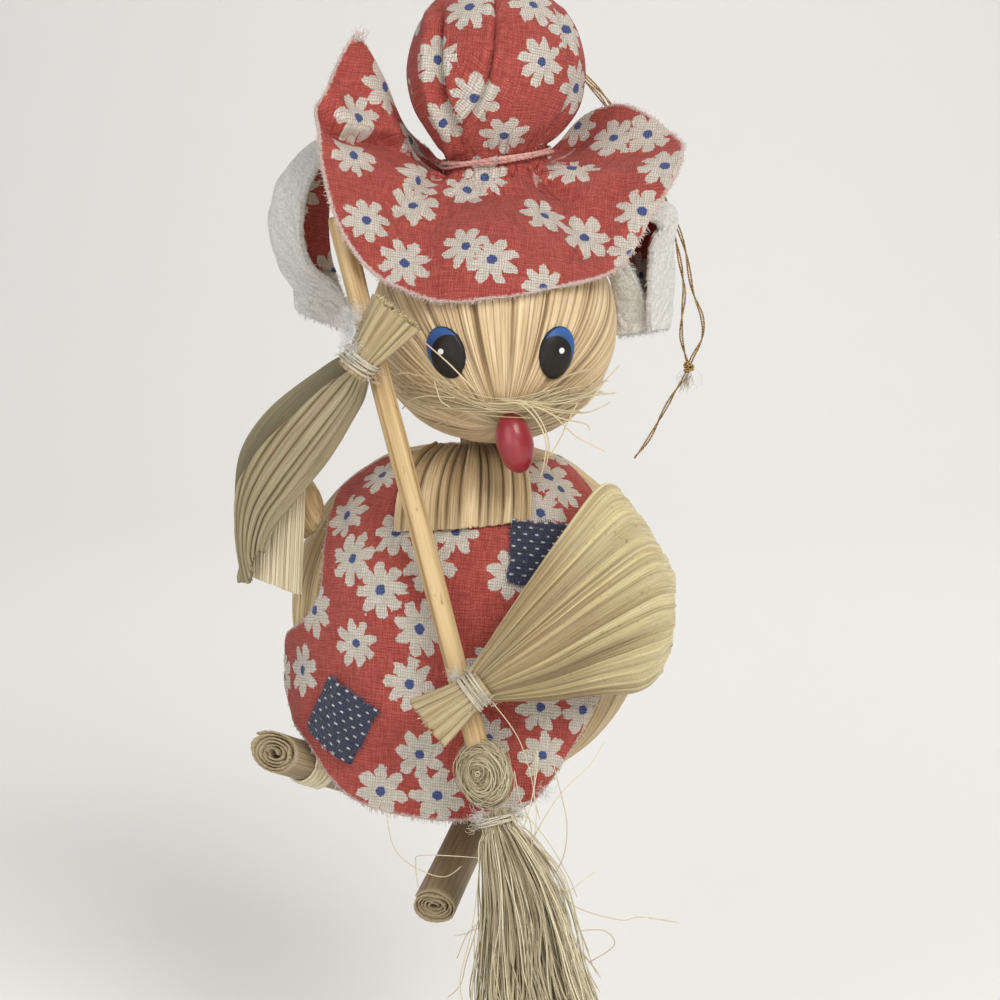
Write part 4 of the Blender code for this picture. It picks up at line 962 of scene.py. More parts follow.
def make_hat(paints):
    columns, crown_rows, neck_rows, brim_rows = 480, 62, 8, 62
    rng = np.random.default_rng(5)
    edge_points = scaled(brim_edge_shares, brim_reach, HAT_NECK)
    edge = smooth_point(edge_points, len(edge_points) * np.arange(columns) / columns, True)
    angle = np.arctan2(edge[:, 0] - HAT_NECK[0], HAT_NECK[1] - edge[:, 1])
    middle = crown_radius - cloth_thickness / 2
    closing = math.pi - math.asin(hat_neck_radius / middle)
    gathers = 30
    gather = rib_heights(angle / TURN * gathers, 11, gathers)
    polar = closing * (np.arange(crown_rows) / crown_rows)[:, None]
    lift = -(1.1 * (1 - gather)) * np.clip(polar / closing * 5 - 4, 0, 1) ** 2 * 0.9
    lift = lift - 0.35 * (noise2(angle[None] * 2.2 + 9, polar * 3, 3) - 0.3) * np.clip(polar, 0, 1)
    forward = (HAT_NECK - CROWN) * vec(1, 1, 0)
    crown = around(CROWN, middle + lift, angle[None], polar)
    crown += forward * (np.clip(polar / closing * 3 - 2, 0, 1) ** 2)[..., None]
    share = (np.arange(neck_rows) / neck_rows)[:, None]
    waist = 0.5 * np.sin(np.pi * share)
    radius = hat_neck_radius - waist - 1.0 * (1 - gather)[None]
    level = HAT_NECK[2] + hat_neck_height * (0.5 - share)
    neck = around(vec(HAT_NECK[0], HAT_NECK[1], 0), radius, angle[None], math.pi / 2)
    neck[..., 2] = level
    share = (np.arange(brim_rows + 1) / brim_rows)[:, None]
    start_level = HAT_NECK[2] - hat_neck_height / 2
    start = around(vec(HAT_NECK[0], HAT_NECK[1], start_level), hat_neck_radius, angle, math.pi / 2)
    start = start - (start - vec(HAT_NECK[0], HAT_NECK[1], start_level)) * (1 - gather)[:, None] / 7
    bend = blend(start, edge, 0.5)
    bend[:, 2] = start_level + np.minimum(0.0, 0.42 * (edge[:, 2] - start_level))
    part = share[..., None]
    brim = blend(blend(start, bend, part), blend(bend, edge, part), part)
    fold = brim_fold_depth * share * (1 - share) * 2 * np.cos(brim_folds * angle)
    fold = fold + 1.5 * (gather - 0.6)[None] * np.exp(-share * 5) * np.clip(share * 8, 0, 1)
    fold = fold + 1.5 * np.exp(-share * 6) * np.clip(share * 14, 0, 1)
    fold = fold + 1.6 * (noise1(angle / TURN * 15, 21, 15) - 0.5) * share * np.exp(-share * 1.5) * 2
    fold = fold + 0.5 * (noise2(angle[None] * 6, share * 5, 8) - 0.5) * np.clip(share * 3, 0, 1)
    brim = brim + grid_normals(brim, True) * fold[..., None]
    normals = grid_normals(crown, True)
    facing = np.clip(normals @ camera_back * 4, -1, 1) * np.clip((CROWN[1] - crown[..., 1]) / 2, 0, 1)
    crown = crown + normals * (fold_lift(crown, crown_folds_drawn) * facing)[..., None]
    normals = grid_normals(brim, True)
    facing = np.clip(normals @ camera_back * 4, -1, 1) * np.clip((-8 - brim[..., 1]) / 2, 0, 1)
    brim = brim + normals * (fold_lift(brim, brim_folds_drawn) * facing)[..., None]
    off = brim - HEAD
    reach = np.linalg.norm(off, axis=2, keepdims=True)
    least = head_radius + 2 * seat_gap + cloth_thickness / 2 + 0.3
    brim = np.where(reach < least, HEAD + off / reach * least, brim)
    grid = lean_hat(np.concatenate([crown, neck, brim]))
    batch = Batch()
    surface = np.zeros((len(grid), columns + 1, 2))
    gap = np.linalg.norm(grid - grid[-1][None], axis=2)
    gap[:crown_rows + neck_rows] = 9
    batch.add(grid, surface, layer_of(0.5, joined(gap)), closed=True)
    item = batch.piece("hat_cloth_print", paints["cotton_reverse"], nodes=["hat_cloth"],
                       weld=True)
    paint_flowers(item, hat_flower_pixels, 8.2, 31)
    item.data.materials.append(paints["cotton"])
    thicken(item, cloth_thickness, 0)
    item.modifiers["Wall"].material_offset = 1
    fringe = Batch()
    closed_edge = np.concatenate([grid[-1], grid[-1][:1]])
    closed_inner = np.concatenate([grid[-3], grid[-3][:1]])
    fray(fringe, closed_edge, closed_inner, 0.6, 8, rng, radius=0.04)
    tip = scaled(brim_edge_shares[9], brim_reach, HAT_NECK)
    for _ in range(26):
        lean = vec(rng.normal(0.05, 0.25), rng.normal(0, 0.2), rng.uniform(0.5, 1.0))
        start = tip + rng.normal(0, 0.35, 3) * vec(1, 1, 0.4) - vec(0, 0, 0.6)
        curl = start + lean * rng.uniform(1.2, 2.6)
        path = smooth_line(np.array([start, blend(start, curl, 0.5) + rng.normal(0, 0.3, 3), curl]), 8)
        fringe.add_fibre(path, 0.06, rng.random())
    fringe.piece("hat_fray", paints["fray"])
    area = sheet_area(joined(grid)) * MM * MM
    make_hat_tie(paints)


def winding_path(centre, direction, radius, pitch, turns):
    steps = 40
    level, upright = frame_along(direction)
    ahead = unit(direction)
    place = np.arange(turns * steps + 1) / steps
    angle = TURN * place
    rise = pitch * (place - turns / 2)
    return (centre + ahead * rise[:, None] + level * (radius * np.cos(angle))[:, None]
            + upright * (radius * np.sin(angle))[:, None])


def add_twist(batch, path, radius, pitch, tone, tightness=0.46, ply_share=0.58):
    """Two plies of a thread, wound round its middle line."""
    level, upright = carried_frames(path)
    distance = travelled(path)
    for ply in (0, math.pi):
        angle = TURN * distance / pitch + ply
        off = level * np.cos(angle)[:, None] + upright * np.sin(angle)[:, None]
        batch.add_fibre(path + off * radius * tightness, radius * ply_share, tone + ply * 0.1, sides=6)


def make_hat_tie(paints):
    batch = Batch()
    for turn in range(3):
        angle = TURN * np.arange(181) / 180
        reach = hat_neck_radius + 0.35 + 0.3 * (noise1(angle / TURN * 26, 61 + turn, 26) - 0.5) * 2
        level = HAT_NECK[2] + (turn - 1) * 0.5 + 0.6 * (noise1(angle / TURN * 11, 71 + turn, 11) - 0.5)
        path = around(vec(HAT_NECK[0], HAT_NECK[1], 0), reach, angle, math.pi / 2)
        path[:, 2] = level
        add_twist(batch, lean_hat(path), 0.26, 1.3, 0.2 + 0.25 * turn)
    batch.piece("hat_tie_thread", paints["tie_pink"], nodes=["hat_tie"])


def husk_ball(name, grid, ribs, surface_scale, paint, node):
    batch = Batch()
    columns = grid.shape[1]
    steps = np.linalg.norm(np.diff(grid, axis=0), axis=2)
    down = np.concatenate([[0], np.cumsum(steps.mean(1))])
    surface = layer_of(np.linspace(0, surface_scale, columns + 1)[None], down[:, None])
    batch.add(grid, surface, layer_of(joined(ribs)), closed=True)
    batch.piece(name, paint, nodes=[node], weld=True)


def make_head(paints):
    """Husk pleats that run from the muzzle over the face to the back of the head."""
    rows, columns, ribs = 64, 900, 104
    up = unit(vec(0, 0, 1) - MUZZLE * MUZZLE[2])
    side = np.cross(MUZZLE, up)
    turn = TURN * np.arange(columns)[None] / columns
    away = math.pi * np.linspace(0, 1, rows)[:, None] ** 0.85
    sway = 0.05 * np.sin(away * 2 + 3 * turn)
    toward = (MUZZLE * np.cos(away)[..., None] + np.sin(away)[..., None]
              * (up * np.cos(turn + sway)[..., None] + side * np.sin(turn + sway)[..., None]))
    heights = rib_heights(turn / TURN * ribs, 41, ribs) * np.ones_like(away)
    fine = rib_heights(turn / TURN * ribs * 3, 43, ribs * 3)
    depth = 0.34 * np.clip(np.sin(away) * 1.5, 0, 1)
    lift = (heights - 0.8) * depth + fine * 0.1 * np.clip(np.sin(away) * 2, 0, 1)
    for degrees, width, deep in ((-9, 0.3, 0.8), (15, 0.35, 0.95), (26, 0.22, 0.5), (-27, 0.25, 0.5),
                                 (-50, 0.3, 0.5), (-68, 0.35, 0.6), (44, 0.25, 0.4), (-110, 0.4, 0.7),
                                 (-126, 0.4, 0.6), (-95, 0.3, 0.5), (120, 0.4, 0.5)):
        gap = (turn - math.radians(degrees) + math.pi) % TURN - math.pi
        crease = np.exp(-(gap * head_radius * np.sin(away) / width) ** 2) * np.clip(np.sin(away) * 2, 0, 1)
        lift = lift - deep * crease * np.exp(-((away - 0.9) / 0.9) ** 2)
        # painted shade: lowering the heights in the creases makes the husk paint darken them
        heights = heights * (1 - 0.9 * crease)
    husk_ball("head_husk_ribs", head_point(toward, lift), heights, head_radius * TURN,
              paints["husk_face"], "head_husk")


def make_body(paints):
    rows, columns, ribs = 60, 780, 118
    azimuth = TURN * np.arange(columns)[None] / columns
    polar = math.pi * np.linspace(0, 1, rows)[:, None]
    heights = rib_heights(azimuth / TURN * ribs, 51, ribs) * np.ones_like(polar)
    broad = rib_heights(azimuth / TURN * 26, 53, 26)
    lift = ((heights - 0.8) * 0.32 + (broad - 0.8) * 0.5) * np.clip(np.sin(polar) * 1.6, 0, 1)
    # painted shade: heights lowered between broad ribs so the husk paint darkens those valleys
    heights = heights * (0.4 + 0.6 * np.clip(broad * 1.6, 0, 1))
    husk_ball("body_husk_ribs", on_body(azimuth, polar, lift), heights, body_radius * TURN,
              paints["husk_body"], "body_husk")


def make_eye(name, azimuth, polar, tilt, side, glint, paint):
    """A crowned oval sticker; side is -1 where its blue cap leans left."""
    rings, segments = 14, 48
    share = np.linspace(0, 1, rings + 1)[:, None]
    angle = -TURN * np.arange(segments)[None] / segments
    across, along = share * np.cos(angle), share * np.sin(angle)
    half_width, half_height = eye_half_width * 0.98, eye_half_height * 0.9
    flat = across * half_width * math.cos(tilt) - along * half_height * math.sin(tilt)
    rise = across * half_width * math.sin(tilt) + along * half_height * math.cos(tilt)
    lift = 0.35 + 0.75 * (1 - share ** 2) ** 0.7 * np.ones_like(angle)
    grid = on_head(azimuth + flat / (head_radius * math.sin(polar)), polar - rise / head_radius, lift)
    foot = on_head(azimuth + flat[-1:] / (head_radius * math.sin(polar)), polar - rise[-1:] / head_radius,
                   -0.1)
    grid = np.concatenate([grid, foot])
    across, along = (np.concatenate([a, a[-1:] * 1.02]) for a in (across, along))
    across, along = joined(across), joined(along)
    surface = np.stack([across * -side, along], -1)
    glint_radius = 0.42
    glint_at = layer_of((across - glint[0]) * eye_half_width,
                        (along - glint[1]) * eye_half_height) / glint_radius
    batch = Batch()
    batch.add(grid, surface, glint_at, closed=True)
    batch.piece(name + "_gloss", paint, nodes=[name], weld=True)


def make_bead(paint):
    rows, columns = 28, 48
    reach = head_radius + muzzle_reach + seat_gap + bead_half_width * bead_offset_share
    centre = around(HEAD, reach, *bead_turns)
    length = -vec(math.sin(bead_tilt), 0, -math.cos(bead_tilt))
    level, deep = frame_along(length, (1, 0, 0))
    polar = math.pi * np.linspace(0, 1, rows)[:, None]
    azimuth = TURN * np.arange(columns)[None] / columns
    spot = around(vec(0, 0, 0), 1.0, azimuth, polar)
    grid = (centre + level * spot[..., :1] * bead_half_width + deep * spot[..., 1:2] * bead_half_width
            + length * spot[..., 2:] * bead_half_length)
    surface = layer_of(np.linspace(0, 15, columns + 1)[None], polar * 4)
    batch = Batch()
    batch.add(grid, surface, closed=True)
    batch.piece("nose_bead_satin", paint, nodes=["nose_bead"], weld=True)


whisker_strays = [
    [(424, 342, -27.5), (447, 362, -29.5), (461, 376, -30), (475, 391, -30)],
    [(402, 409, -25), (411, 400, -26.5), (428, 396, -28.5), (455, 398, -30)],
    [(434, 380, -29.5), (437, 390, -30), (441, 401, -30), (450, 407, -30.5)],
    [(505, 402, -32.5), (520, 404, -33), (534, 417, -34), (543, 432, -34.5), (546, 447, -34.5),
     (544, 463, -34), (540, 479, -33)],
    [(500, 400, -32.5), (524, 402, -33), (538, 416, -33.5), (546, 432, -34), (549, 448, -34),
     (545, 470, -33)],
    [(515, 400, -32), (550, 402, -30), (585, 395, -26), (603, 383, -24), (620, 365, -23)],
    [(515, 401, -32), (555, 404, -30), (590, 396, -26), (617, 393, -24)],
    [(520, 402, -32), (560, 412, -30), (590, 412, -26), (611, 402, -25)],
    [(520, 403, -32), (550, 413, -31), (575, 436, -28), (605, 452, -27)],
    [(530, 404, -32), (560, 418, -30), (585, 424, -27), (589, 431, -27)],
    [(551, 455, -31), (561, 438, -30), (568, 422, -29), (578, 402, -28)],
    [(520, 400, -32), (560, 410, -30), (583, 408, -27), (606, 380, -24)],
    [(418, 376, -27.5), (408, 373, -26), (396, 374, -25)],
]


def make_whiskers(paint):
    """Sisal strands that lie across the muzzle, bundled in the middle, with loose ends."""
    rng = np.random.default_rng(17)
    batch = Batch()
    for _ in range(32):
        start, end = rng.uniform(-60, -14), rng.uniform(14, 66)
        azimuth = np.radians(np.linspace(start, end, 26))
        bundled = np.exp(-((np.degrees(azimuth) - 4) / 24) ** 2)
        left = rng.normal(116, 5)
        right = rng.normal(115, 5)
        loose = np.where(np.degrees(azimuth) < 4, left, right)
        loose = loose + rng.normal(0, 3) * np.sin(azimuth * 2 + rng.uniform(0, 6))
        polar = np.radians(116.5 + rng.normal(0, 1.5) + (loose - 116.5) * (1 - bundled))
        lift = 0.35 + rng.uniform(0.1, 1.5) * bundled ** 0.7 + rng.uniform(0.1, 0.8)
        share = np.linspace(0, 1, 26)
        lift = lift + rng.uniform(0, 2.2) * share ** 6 + rng.uniform(0, 0.6) * (1 - share) ** 6
        batch.add_fibre(on_head(azimuth, polar, lift), rng.uniform(0.06, 0.11), rng.uniform(0.3, 1.0))
    for stray in whisker_strays:
        guides = np.array([seen_at(point[:2], point[2]) for point in stray])
        batch.add_fibre(smooth_line(guides, 24), 0.12, rng.uniform(0.7, 1.0))
    batch.piece("whisker_strands", paint, nodes=["whisker_bundle"])


def make_ears(paints):
    for side, shares, body in (("left", ear_left_shares, "left_ear"),
                               ("right", ear_right_shares, "right_ear")):
        rng = np.random.default_rng(23 if side == "left" else 29)
        lines = scaled(shares, EAR_REACH, HEAD)
        rows, columns = (110, 60) if side == "left" else (70, 110)
        grid = surface_through(lines, rows, columns)
        if side == "left":
            grid = shortened(grid, 1 - 0.15 * (1 - np.abs(np.linspace(-1, 1, columns + 1))) ** 1.2)
        surface = flat_surface(grid)
        nap = noise2(surface[..., 0] * 1.6 + 40, surface[..., 1] * 1.6 + 40, 7) - 0.5
        lumps = noise2(surface[..., 0] * 0.4 + 90, surface[..., 1] * 0.4 + 90, 9) - 0.5
        normals = grid_normals(grid)
        felt = grid + normals * (nap * 0.28 + lumps * 0.5)[..., None]
        batch = Batch()
        batch.add(felt, surface)
        item = batch.piece(f"ear_{side}_fleece", paints["fleece"], body, [f"ear_{side}_felt"])
        thicken(item, felt_thickness, 0)
        round_off = item.modifiers.new("Round", "SUBSURF")
        round_off.levels = round_off.render_levels = 1
        first, last, top, bottom = (10, 60, 22, 76) if side == "left" else (10, 108, 4, 46)
        inside = grid + normals * (felt_thickness / 2 + 0.9 * seat_gap + lining_thickness / 2)
        inside = inside[top:bottom, first:last]
        batch = Batch()
        batch.add(inside, flat_surface(inside))
        lining = batch.piece(f"ear_{side}_lining_print", paints["lining"], body, [f"ear_{side}_lining"])
        paint_flowers(lining, [], 8.0, 37)
        thicken(lining, lining_thickness * 0.7, 0)
        fuzz = Batch()
        for edge, inner in ((felt[:, 0], felt[:, 2]), (felt[:, -1], felt[:, -3]), (felt[-1], felt[-3])):
            fray(fuzz, edge, inner, 0.8, 10, rng, radius=0.035)
        fuzz.piece(f"ear_{side}_fuzz", paints["fuzz"], body)
        for cloth, cut, pieces in ((item, felt, [f"ear_{side}_fuzz"]), (lining, inside, [])):
            sheet_area(cut) * MM * MM


def ribbed(grid, ribs, depth, seed, fade=None, drawn=None):
    """Raises husk ribs on a grid; gives the grid and the rib heights."""
    across = np.linspace(0, ribs, grid.shape[1])[None]
    heights = rib_heights(across, seed) * np.ones((len(grid), 1))
    fade = 1.0 if fade is None else fade[:, None]
    drawn = 1.0 if drawn is None else drawn[:, None]
    fine = rib_heights(across * 3.3, seed + 5)
    broad = rib_heights(across * 0.23 + 0.3 * noise1(across * 0.1, seed + 9), seed + 7)
    lift = ((heights - 0.5) + 0.5 * (broad - 0.8)) * depth * fade + fine * 0.12
    # painted shade: lower heights between broad ribs darken them in the husk paint; drawn, below, softens
    # that shade
    heights = heights * (0.7 + 0.3 * fine) * (0.7 + 0.3 * np.clip(broad * 1.6, 0, 1))
    heights = 1 - (1 - heights) * drawn
    return grid + grid_normals(grid) * lift[..., None], heights


def cut_ends(grid, depth, seed):
    """Shortens each column a little, so that the last row is a ragged cut."""
    columns = grid.shape[1]
    return shortened(grid, 1 - depth * noise1(np.linspace(0, columns / 6, columns), seed))


def shortened(grid, shares):
    """The grid with each column kept to a share of its length."""
    places = np.arange(len(grid))[:, None] * shares[None]
    low = np.floor(places).astype(int)
    high = np.minimum(low + 1, len(grid) - 1)
    part = (places - low)[..., None]
    column = np.arange(grid.shape[1])[None]
    return grid[low, column] * (1 - part) + grid[high, column] * part


def add_husk(batch, grid, ribs, depth, seed, fade=None, drawn=None):
    grid, heights = ribbed(grid, ribs, depth, seed, fade, drawn)
    surface = fibre_surface(grid, seed * 7.0)
    batch.add(grid, surface, layer_of(heights))


def make_neck(paints):
    up = vec(0, 0, 1)
    waist = blend(NECK_TOP, BODY_TOP, 0.5)
    rows, columns = 14, 180
    share = np.linspace(-1, 1, rows)[:, None]
    angle = TURN * np.arange(columns)[None] / columns
    heights = rib_heights(angle / TURN * 22, 81, 22)
    radius = neck_radius - 0.25 + 0.8 * share ** 2 + (heights - 0.7) * 0.5
    grid = around(waist, radius, angle, math.pi / 2)
    grid = grid - up * share[..., None] * (neck_length / 2 + 0.5)
    surface = layer_of(np.linspace(0, 20, columns + 1)[None], share * 2)
    relief = layer_of(np.broadcast_to(joined(heights), surface.shape[:2]))
    batch = Batch()
    batch.add(grid, surface, relief, closed=True)
    batch.piece("neck_husk_flutes", paints["husk"], nodes=["neck_husk"])
    # Known fault: this axis is straight up, so the level side vanishes and the turns collapse onto it
    thread = Batch()
    thread.add_fibre(winding_path(waist, up, neck_radius + 0.5, 0.27, 6), neck_thread / 2, 0.5, sides=6)
    thread.piece("neck_tie_clear", paints["nylon"], nodes=["neck_tie"])


def make_collar(paints):
    """Pleated husk ends from the neck's foot down over the chest."""
    rows, columns, pleats = 60, 420, 10
    lift = 3 * seat_gap + cloth_thickness + collar_thickness / 2
    share = np.linspace(0, 1, rows + 1)[:, None]
    side = np.linspace(0, 1, columns + 1)[None]
    left = blend(*collar_left_turns, share ** 0.6)
    right = blend(*collar_right_turns, share ** 0.6)
    polar = blend(math.radians(15), blend(*collar_end_turns, side), share)
    place = (side * pleats + 0.9 * (noise1(side * 3.1, 97) - 0.5)
             + 0.35 * (noise2(side * 5, share * 1.5, 99) - 0.5))
    pleat = rib_heights(place, 91)
    fine = rib_heights(place * 4, 93)
    swell = np.clip(share * 3, 0.25, 1) * np.clip((1 - share) * 5, 0.12, 1)
    high = lift + 0.1 + (pleat - 0.45) * 1.5 * swell + fine * 0.16
    grid = cut_ends(on_body(blend(left, right, side), polar, high), 0.012, 95)
    # painted shade: heights follow the pleats, so the husk paint darkens the creases between them
    heights = pleat * (0.5 + 0.5 * fine) * np.ones_like(share)
    batch = Batch()
    batch.add(grid, fibre_surface(grid), layer_of(heights))
    item = batch.piece("husk_collar_pleats", paints["husk"], nodes=["husk_collar"])
    thicken(item, collar_thickness * 0.6)


def make_apron(paints):
    rows, columns = 120, 170
    rng = np.random.default_rng(3)
    share = np.linspace(0, 1, rows + 1)[:, None]
    side = np.linspace(0, 1, columns + 1)[None]
    left = smooth_line(np.array(apron_left_turns, float)[:, None], rows + 1)
    right = smooth_line(np.array(apron_right_turns, float)[:, None], rows + 1)
    hem = smooth_line(np.array(apron_hem_shares, float)[:, None], columns + 1)[:, 0] * body_radius
    height = blend(apron_top_share * body_radius, hem[None], share)
    azimuth = np.radians(blend(left, right, side))
    ripple = 0.5 * (noise2(side * 14, share * 7, 13) - 0.5) + 0.2 * (noise2(side * 40, share * 30, 15) - 0.5)
    grid = on_apron(azimuth, height, ripple * np.ones_like(height))
    batch = Batch()
    edge = np.minimum(np.minimum(side, 1 - side) * 50, (1 - share) * 45)
    batch.add(grid, np.zeros((*grid.shape[:2], 2)), layer_of(0.5, edge))
    item = batch.piece("apron_print", paints["cotton"], nodes=["apron"])
    paint_flowers(item, apron_flower_pixels, 8.6, 47)
    item.data.materials.append(paints["cotton_reverse"])
    thicken(item, cloth_thickness, 0)
    item.modifiers["Wall"].material_offset = 1
    fringe = Batch()
    for line, inner in ((grid[-1], grid[-3]), (grid[:, 0], grid[:, 2]), (grid[:, -1], grid[:, -3])):
        fray(fringe, line, inner, 0.7, 7, rng, radius=0.04)
    fringe.piece("apron_fray", paints["fray"])
    make_patch("patch_left", *patch_left_place, paints, rng)
    make_patch("patch_right", *patch_right_place, paints, rng)
    sheet_area(grid) * MM * MM


def sheet_area(grid):
    first = np.cross(grid[1:, :-1] - grid[:-1, :-1], grid[:-1, 1:] - grid[:-1, :-1])
    second = np.cross(grid[1:, :-1] - grid[1:, 1:], grid[:-1, 1:] - grid[1:, 1:])
    return (np.linalg.norm(first, axis=2).sum() + np.linalg.norm(second, axis=2).sum()) / 2


def make_patch(name, azimuth, height_share, turn, paints, rng):
    height = height_share * body_radius
    steps = 40
    ragged = 0.25 * (noise1(np.linspace(0, 9, steps + 1), 77) - 0.5)
    across = patch_half_side * np.linspace(-1, 1, steps + 1)[None] + ragged[:, None]
    rise = patch_half_side * np.linspace(1, -1, steps + 1)[:, None] + ragged[None]
    side = across * math.cos(turn) - rise * math.sin(turn)
    up = across * math.sin(turn) + rise * math.cos(turn)
    slant = math.cos(max(0.0, height) / body_radius)
    lift = cloth_thickness + seat_gap + 0.25 * (noise2(across, rise, 5) - 0.5)
    grid = on_apron(azimuth + side / (body_radius * slant), height + up, lift)
    batch = Batch()
    batch.add(grid, layer_of(across, rise))
    item = batch.piece(name + "_weave", paints["denim"], nodes=[name])
    thicken(item, cloth_thickness * 1.2, 0)
    fringe = Batch()
    for line, inner in ((grid[0], grid[2]), (grid[-1], grid[-3]), (grid[:, 0], grid[:, 2]),
                        (grid[:, -1], grid[:, -3])):
        fray(fringe, line, inner, 0.6, 4, rng)
    fringe.piece(name + "_fray", paints["denim_fray"])


STICK_TOP = scaled(stick_top_share, head_radius, HEAD)
BROOM_HEEL = scaled(broom_heel_share, body_radius, BODY)
BROOM_AXIS = unit(BROOM_HEEL - STICK_TOP)


def wrist_centre(held, side):
    forward = stick_radius / math.cos(math.asin(-BROOM_AXIS[1])) + 2 * seat_gap + wrist_radius + tie_thread
    return held + vec(side, -forward - seat_gap, 0)


def make_hand(name, centre, direction, seed, cut_back, crumb_count, paints):
    """The tuft of husk ends past a wrist's tie: rolled layers with ragged, grainy cuts."""
    ahead = unit(direction)
    level, upright = frame_along(ahead, np.cross(vec(0, -1, 0), ahead))
    rng = np.random.default_rng(seed)
    batch = Batch()
    rows, columns = 26, 144
    share = np.linspace(0, 1, rows)[:, None]
    angle = -TURN * np.arange(columns)[None] / columns
    for layer, size in enumerate((1.0, 0.8, 0.6, 0.4, 0.2)):
        ribs = max(5, round(15 * size))
        heights = rib_heights(angle / TURN * ribs, seed + layer, ribs)
        flare = np.clip((share - 0.3) / 0.7, 0, 1)
        width = blend(wrist_radius, hand_half_width, flare) * size
        depth = blend(wrist_radius, hand_half_depth * 1.15, flare) * size
        fine = rib_heights(angle / TURN * ribs * 4, seed + layer + 40, ribs * 4)
        bulge = 1 + ((heights - 0.6) * 0.2 + fine * 0.04) * np.clip(share * 3, 0.3, 1)
        bulge = bulge + 0.08 * (noise2(angle * 3, share * 4, seed + layer) - 0.5)
        end = wrist_length + hand_length - cut_back - layer * 0.12
        reach = -wrist_length / 2 + end * share * (1 - 0.05 * noise1(angle / TURN * 40, seed + 9, 40))
        grid = (centre + ahead * reach[..., None] + level * (width * bulge * np.cos(angle))[..., None]
                + upright * (depth * bulge * np.sin(angle))[..., None])
        surface = layer_of(np.linspace(0, 20 * size, columns + 1)[None] + seed * 3, share * 11)
        relief = layer_of(np.broadcast_to(joined(heights), surface.shape[:2]))
        batch.add(grid, surface, relief, closed=True)
    item = batch.piece(name + "_layers", paints["husk_hand"], nodes=[name])
    thicken(item, 0.3)
    crumbs = Batch()
    for _ in range(crumb_count):
        spot = rng.uniform(0, TURN)
        reach = math.sqrt(rng.random()) * 0.95
        place = (centre + ahead * (wrist_length / 2 + hand_length - cut_back - rng.uniform(0.3, 0.8))
                 + level * hand_half_width * reach * math.cos(spot)
                 + upright * hand_half_depth * 1.1 * reach * math.sin(spot))
        path = np.array([place, place + ahead * 0.3, place + ahead * rng.uniform(0.5, 0.9)
                         + rng.normal(0, 0.12, 3)])
        crumbs.add_fibre(smooth_line(path, 5), rng.uniform(0.08, 0.16), rng.random())
    crumbs.piece(name + "_cut_fibres", paints["cut"])


def make_tie(name, centre, direction, radius, span, turns, seed, paints, thread):
    """Many turns of pale thread that cross a little, with short loose fluff."""
    rng = np.random.default_rng(seed)
    level, upright = frame_along(direction)
    ahead = unit(direction)
    batch = Batch()
    place = np.arange(turns * 36 + 1) / 36
    angle = TURN * place
    rise = span / 2 * np.sin(TURN * place / turns * 1.5 + 0.6) + 0.25 * (noise1(place * 2.3, seed) - 0.5)
    reach = radius + 0.25 * noise1(place * 3.1, seed + 1) + 0.12 * np.cos(TURN * place / turns * 1.5)
    path = (centre + ahead * rise[:, None] + level * (reach * np.cos(angle))[:, None]
            + upright * (reach * np.sin(angle))[:, None])
    batch.add_fibre(path, thread, 0.7, sides=6)
    for _ in range(70):
        turn = rng.uniform(0, TURN)
        out = level * math.cos(turn) + upright * math.sin(turn)
        start = centre + out * radius + ahead * rng.uniform(-0.6, 0.6) * span
        curl = np.cumsum(rng.normal(0, 0.45, (5, 3)), 0)
        path = start + np.concatenate([[np.zeros(3)], curl * 0.7 + out * np.linspace(0.2, 0.6, 5)[:, None]])
        batch.add_fibre(smooth_line(path, 10), 0.035, rng.uniform(0.5, 1.0))
    batch.piece(name + "_thread", paints["tie"], nodes=[name])


# Wisps of white fluff: a pixel, its depth, their spread and count
fluff_places = [
    ((351, 316), -31, 0.9, 150), ((350, 333), -32, 0.8, 150), ((353, 350), -33, 0.8, 120),
    ((455, 676), -42, 0.5, 60), ((478, 815), -43.5, 0.55, 80), ((518, 812), -43.5, 0.5, 30),
    ((466, 706), -43, 0.5, 24), ((545, 792), -38, 0.6, 60),
]


def make_fluff(paints):
    rng = np.random.default_rng(263)
    batch = Batch()
    for pixel, depth, spread, count in fluff_places:
        middle = seen_at(pixel, depth)
        for _ in range(count):
            start = middle + rng.normal(0, 0.6, 3) * spread
            steps = np.cumsum(rng.normal(0, 0.4, (6, 3)) * spread, 0)
            batch.add_fibre(smooth_line(start + steps, 12), 0.015, rng.uniform(0.3, 1.0))
    batch.piece("thread_fluff", paints["fuzz"])


def sleeve_lines(shares, centre, direction):
    ahead = unit(direction)
    level, _ = frame_along(ahead, np.cross(vec(0, -1, 0), ahead))
    start = centre - ahead * wrist_length * 0.3
    lines = scaled(shares, body_radius, BODY)
    turn = 1 if (lines[0][0] - lines[2][0]) @ level > 0 else -1
    starts = np.array([start + level * turn * wrist_radius, start - vec(0, 0.6, 0),
                       start - level * turn * wrist_radius])
    return np.concatenate([starts[:, None], lines], 1)


def make_arms(paints):
    left = wrist_centre(STICK_TOP + BROOM_AXIS * brim_reach * wrist_left_drop_share, wrist_left_side)
    right = wrist_centre(BROOM_HEEL - BROOM_AXIS * body_radius * wrist_right_rise_share, wrist_right_side)
    for name, centre, direction, seed, cut in (("left", left, hand_left_direction, 101, (0.4, 150)),
                                               ("right", right, hand_right_direction, 131, (1.3, 26))):
        make_hand("hand_" + name, centre, direction, seed, *cut, paints)
        make_tie("wrist_tie_" + name, centre, direction, wrist_radius + 0.15, 1.9, 13, seed + 3,
                 paints, 0.11)
    make_fluff(paints)
    make_sleeve(left, paints)
    make_fan(right, paints)
    make_upper_arm(paints)


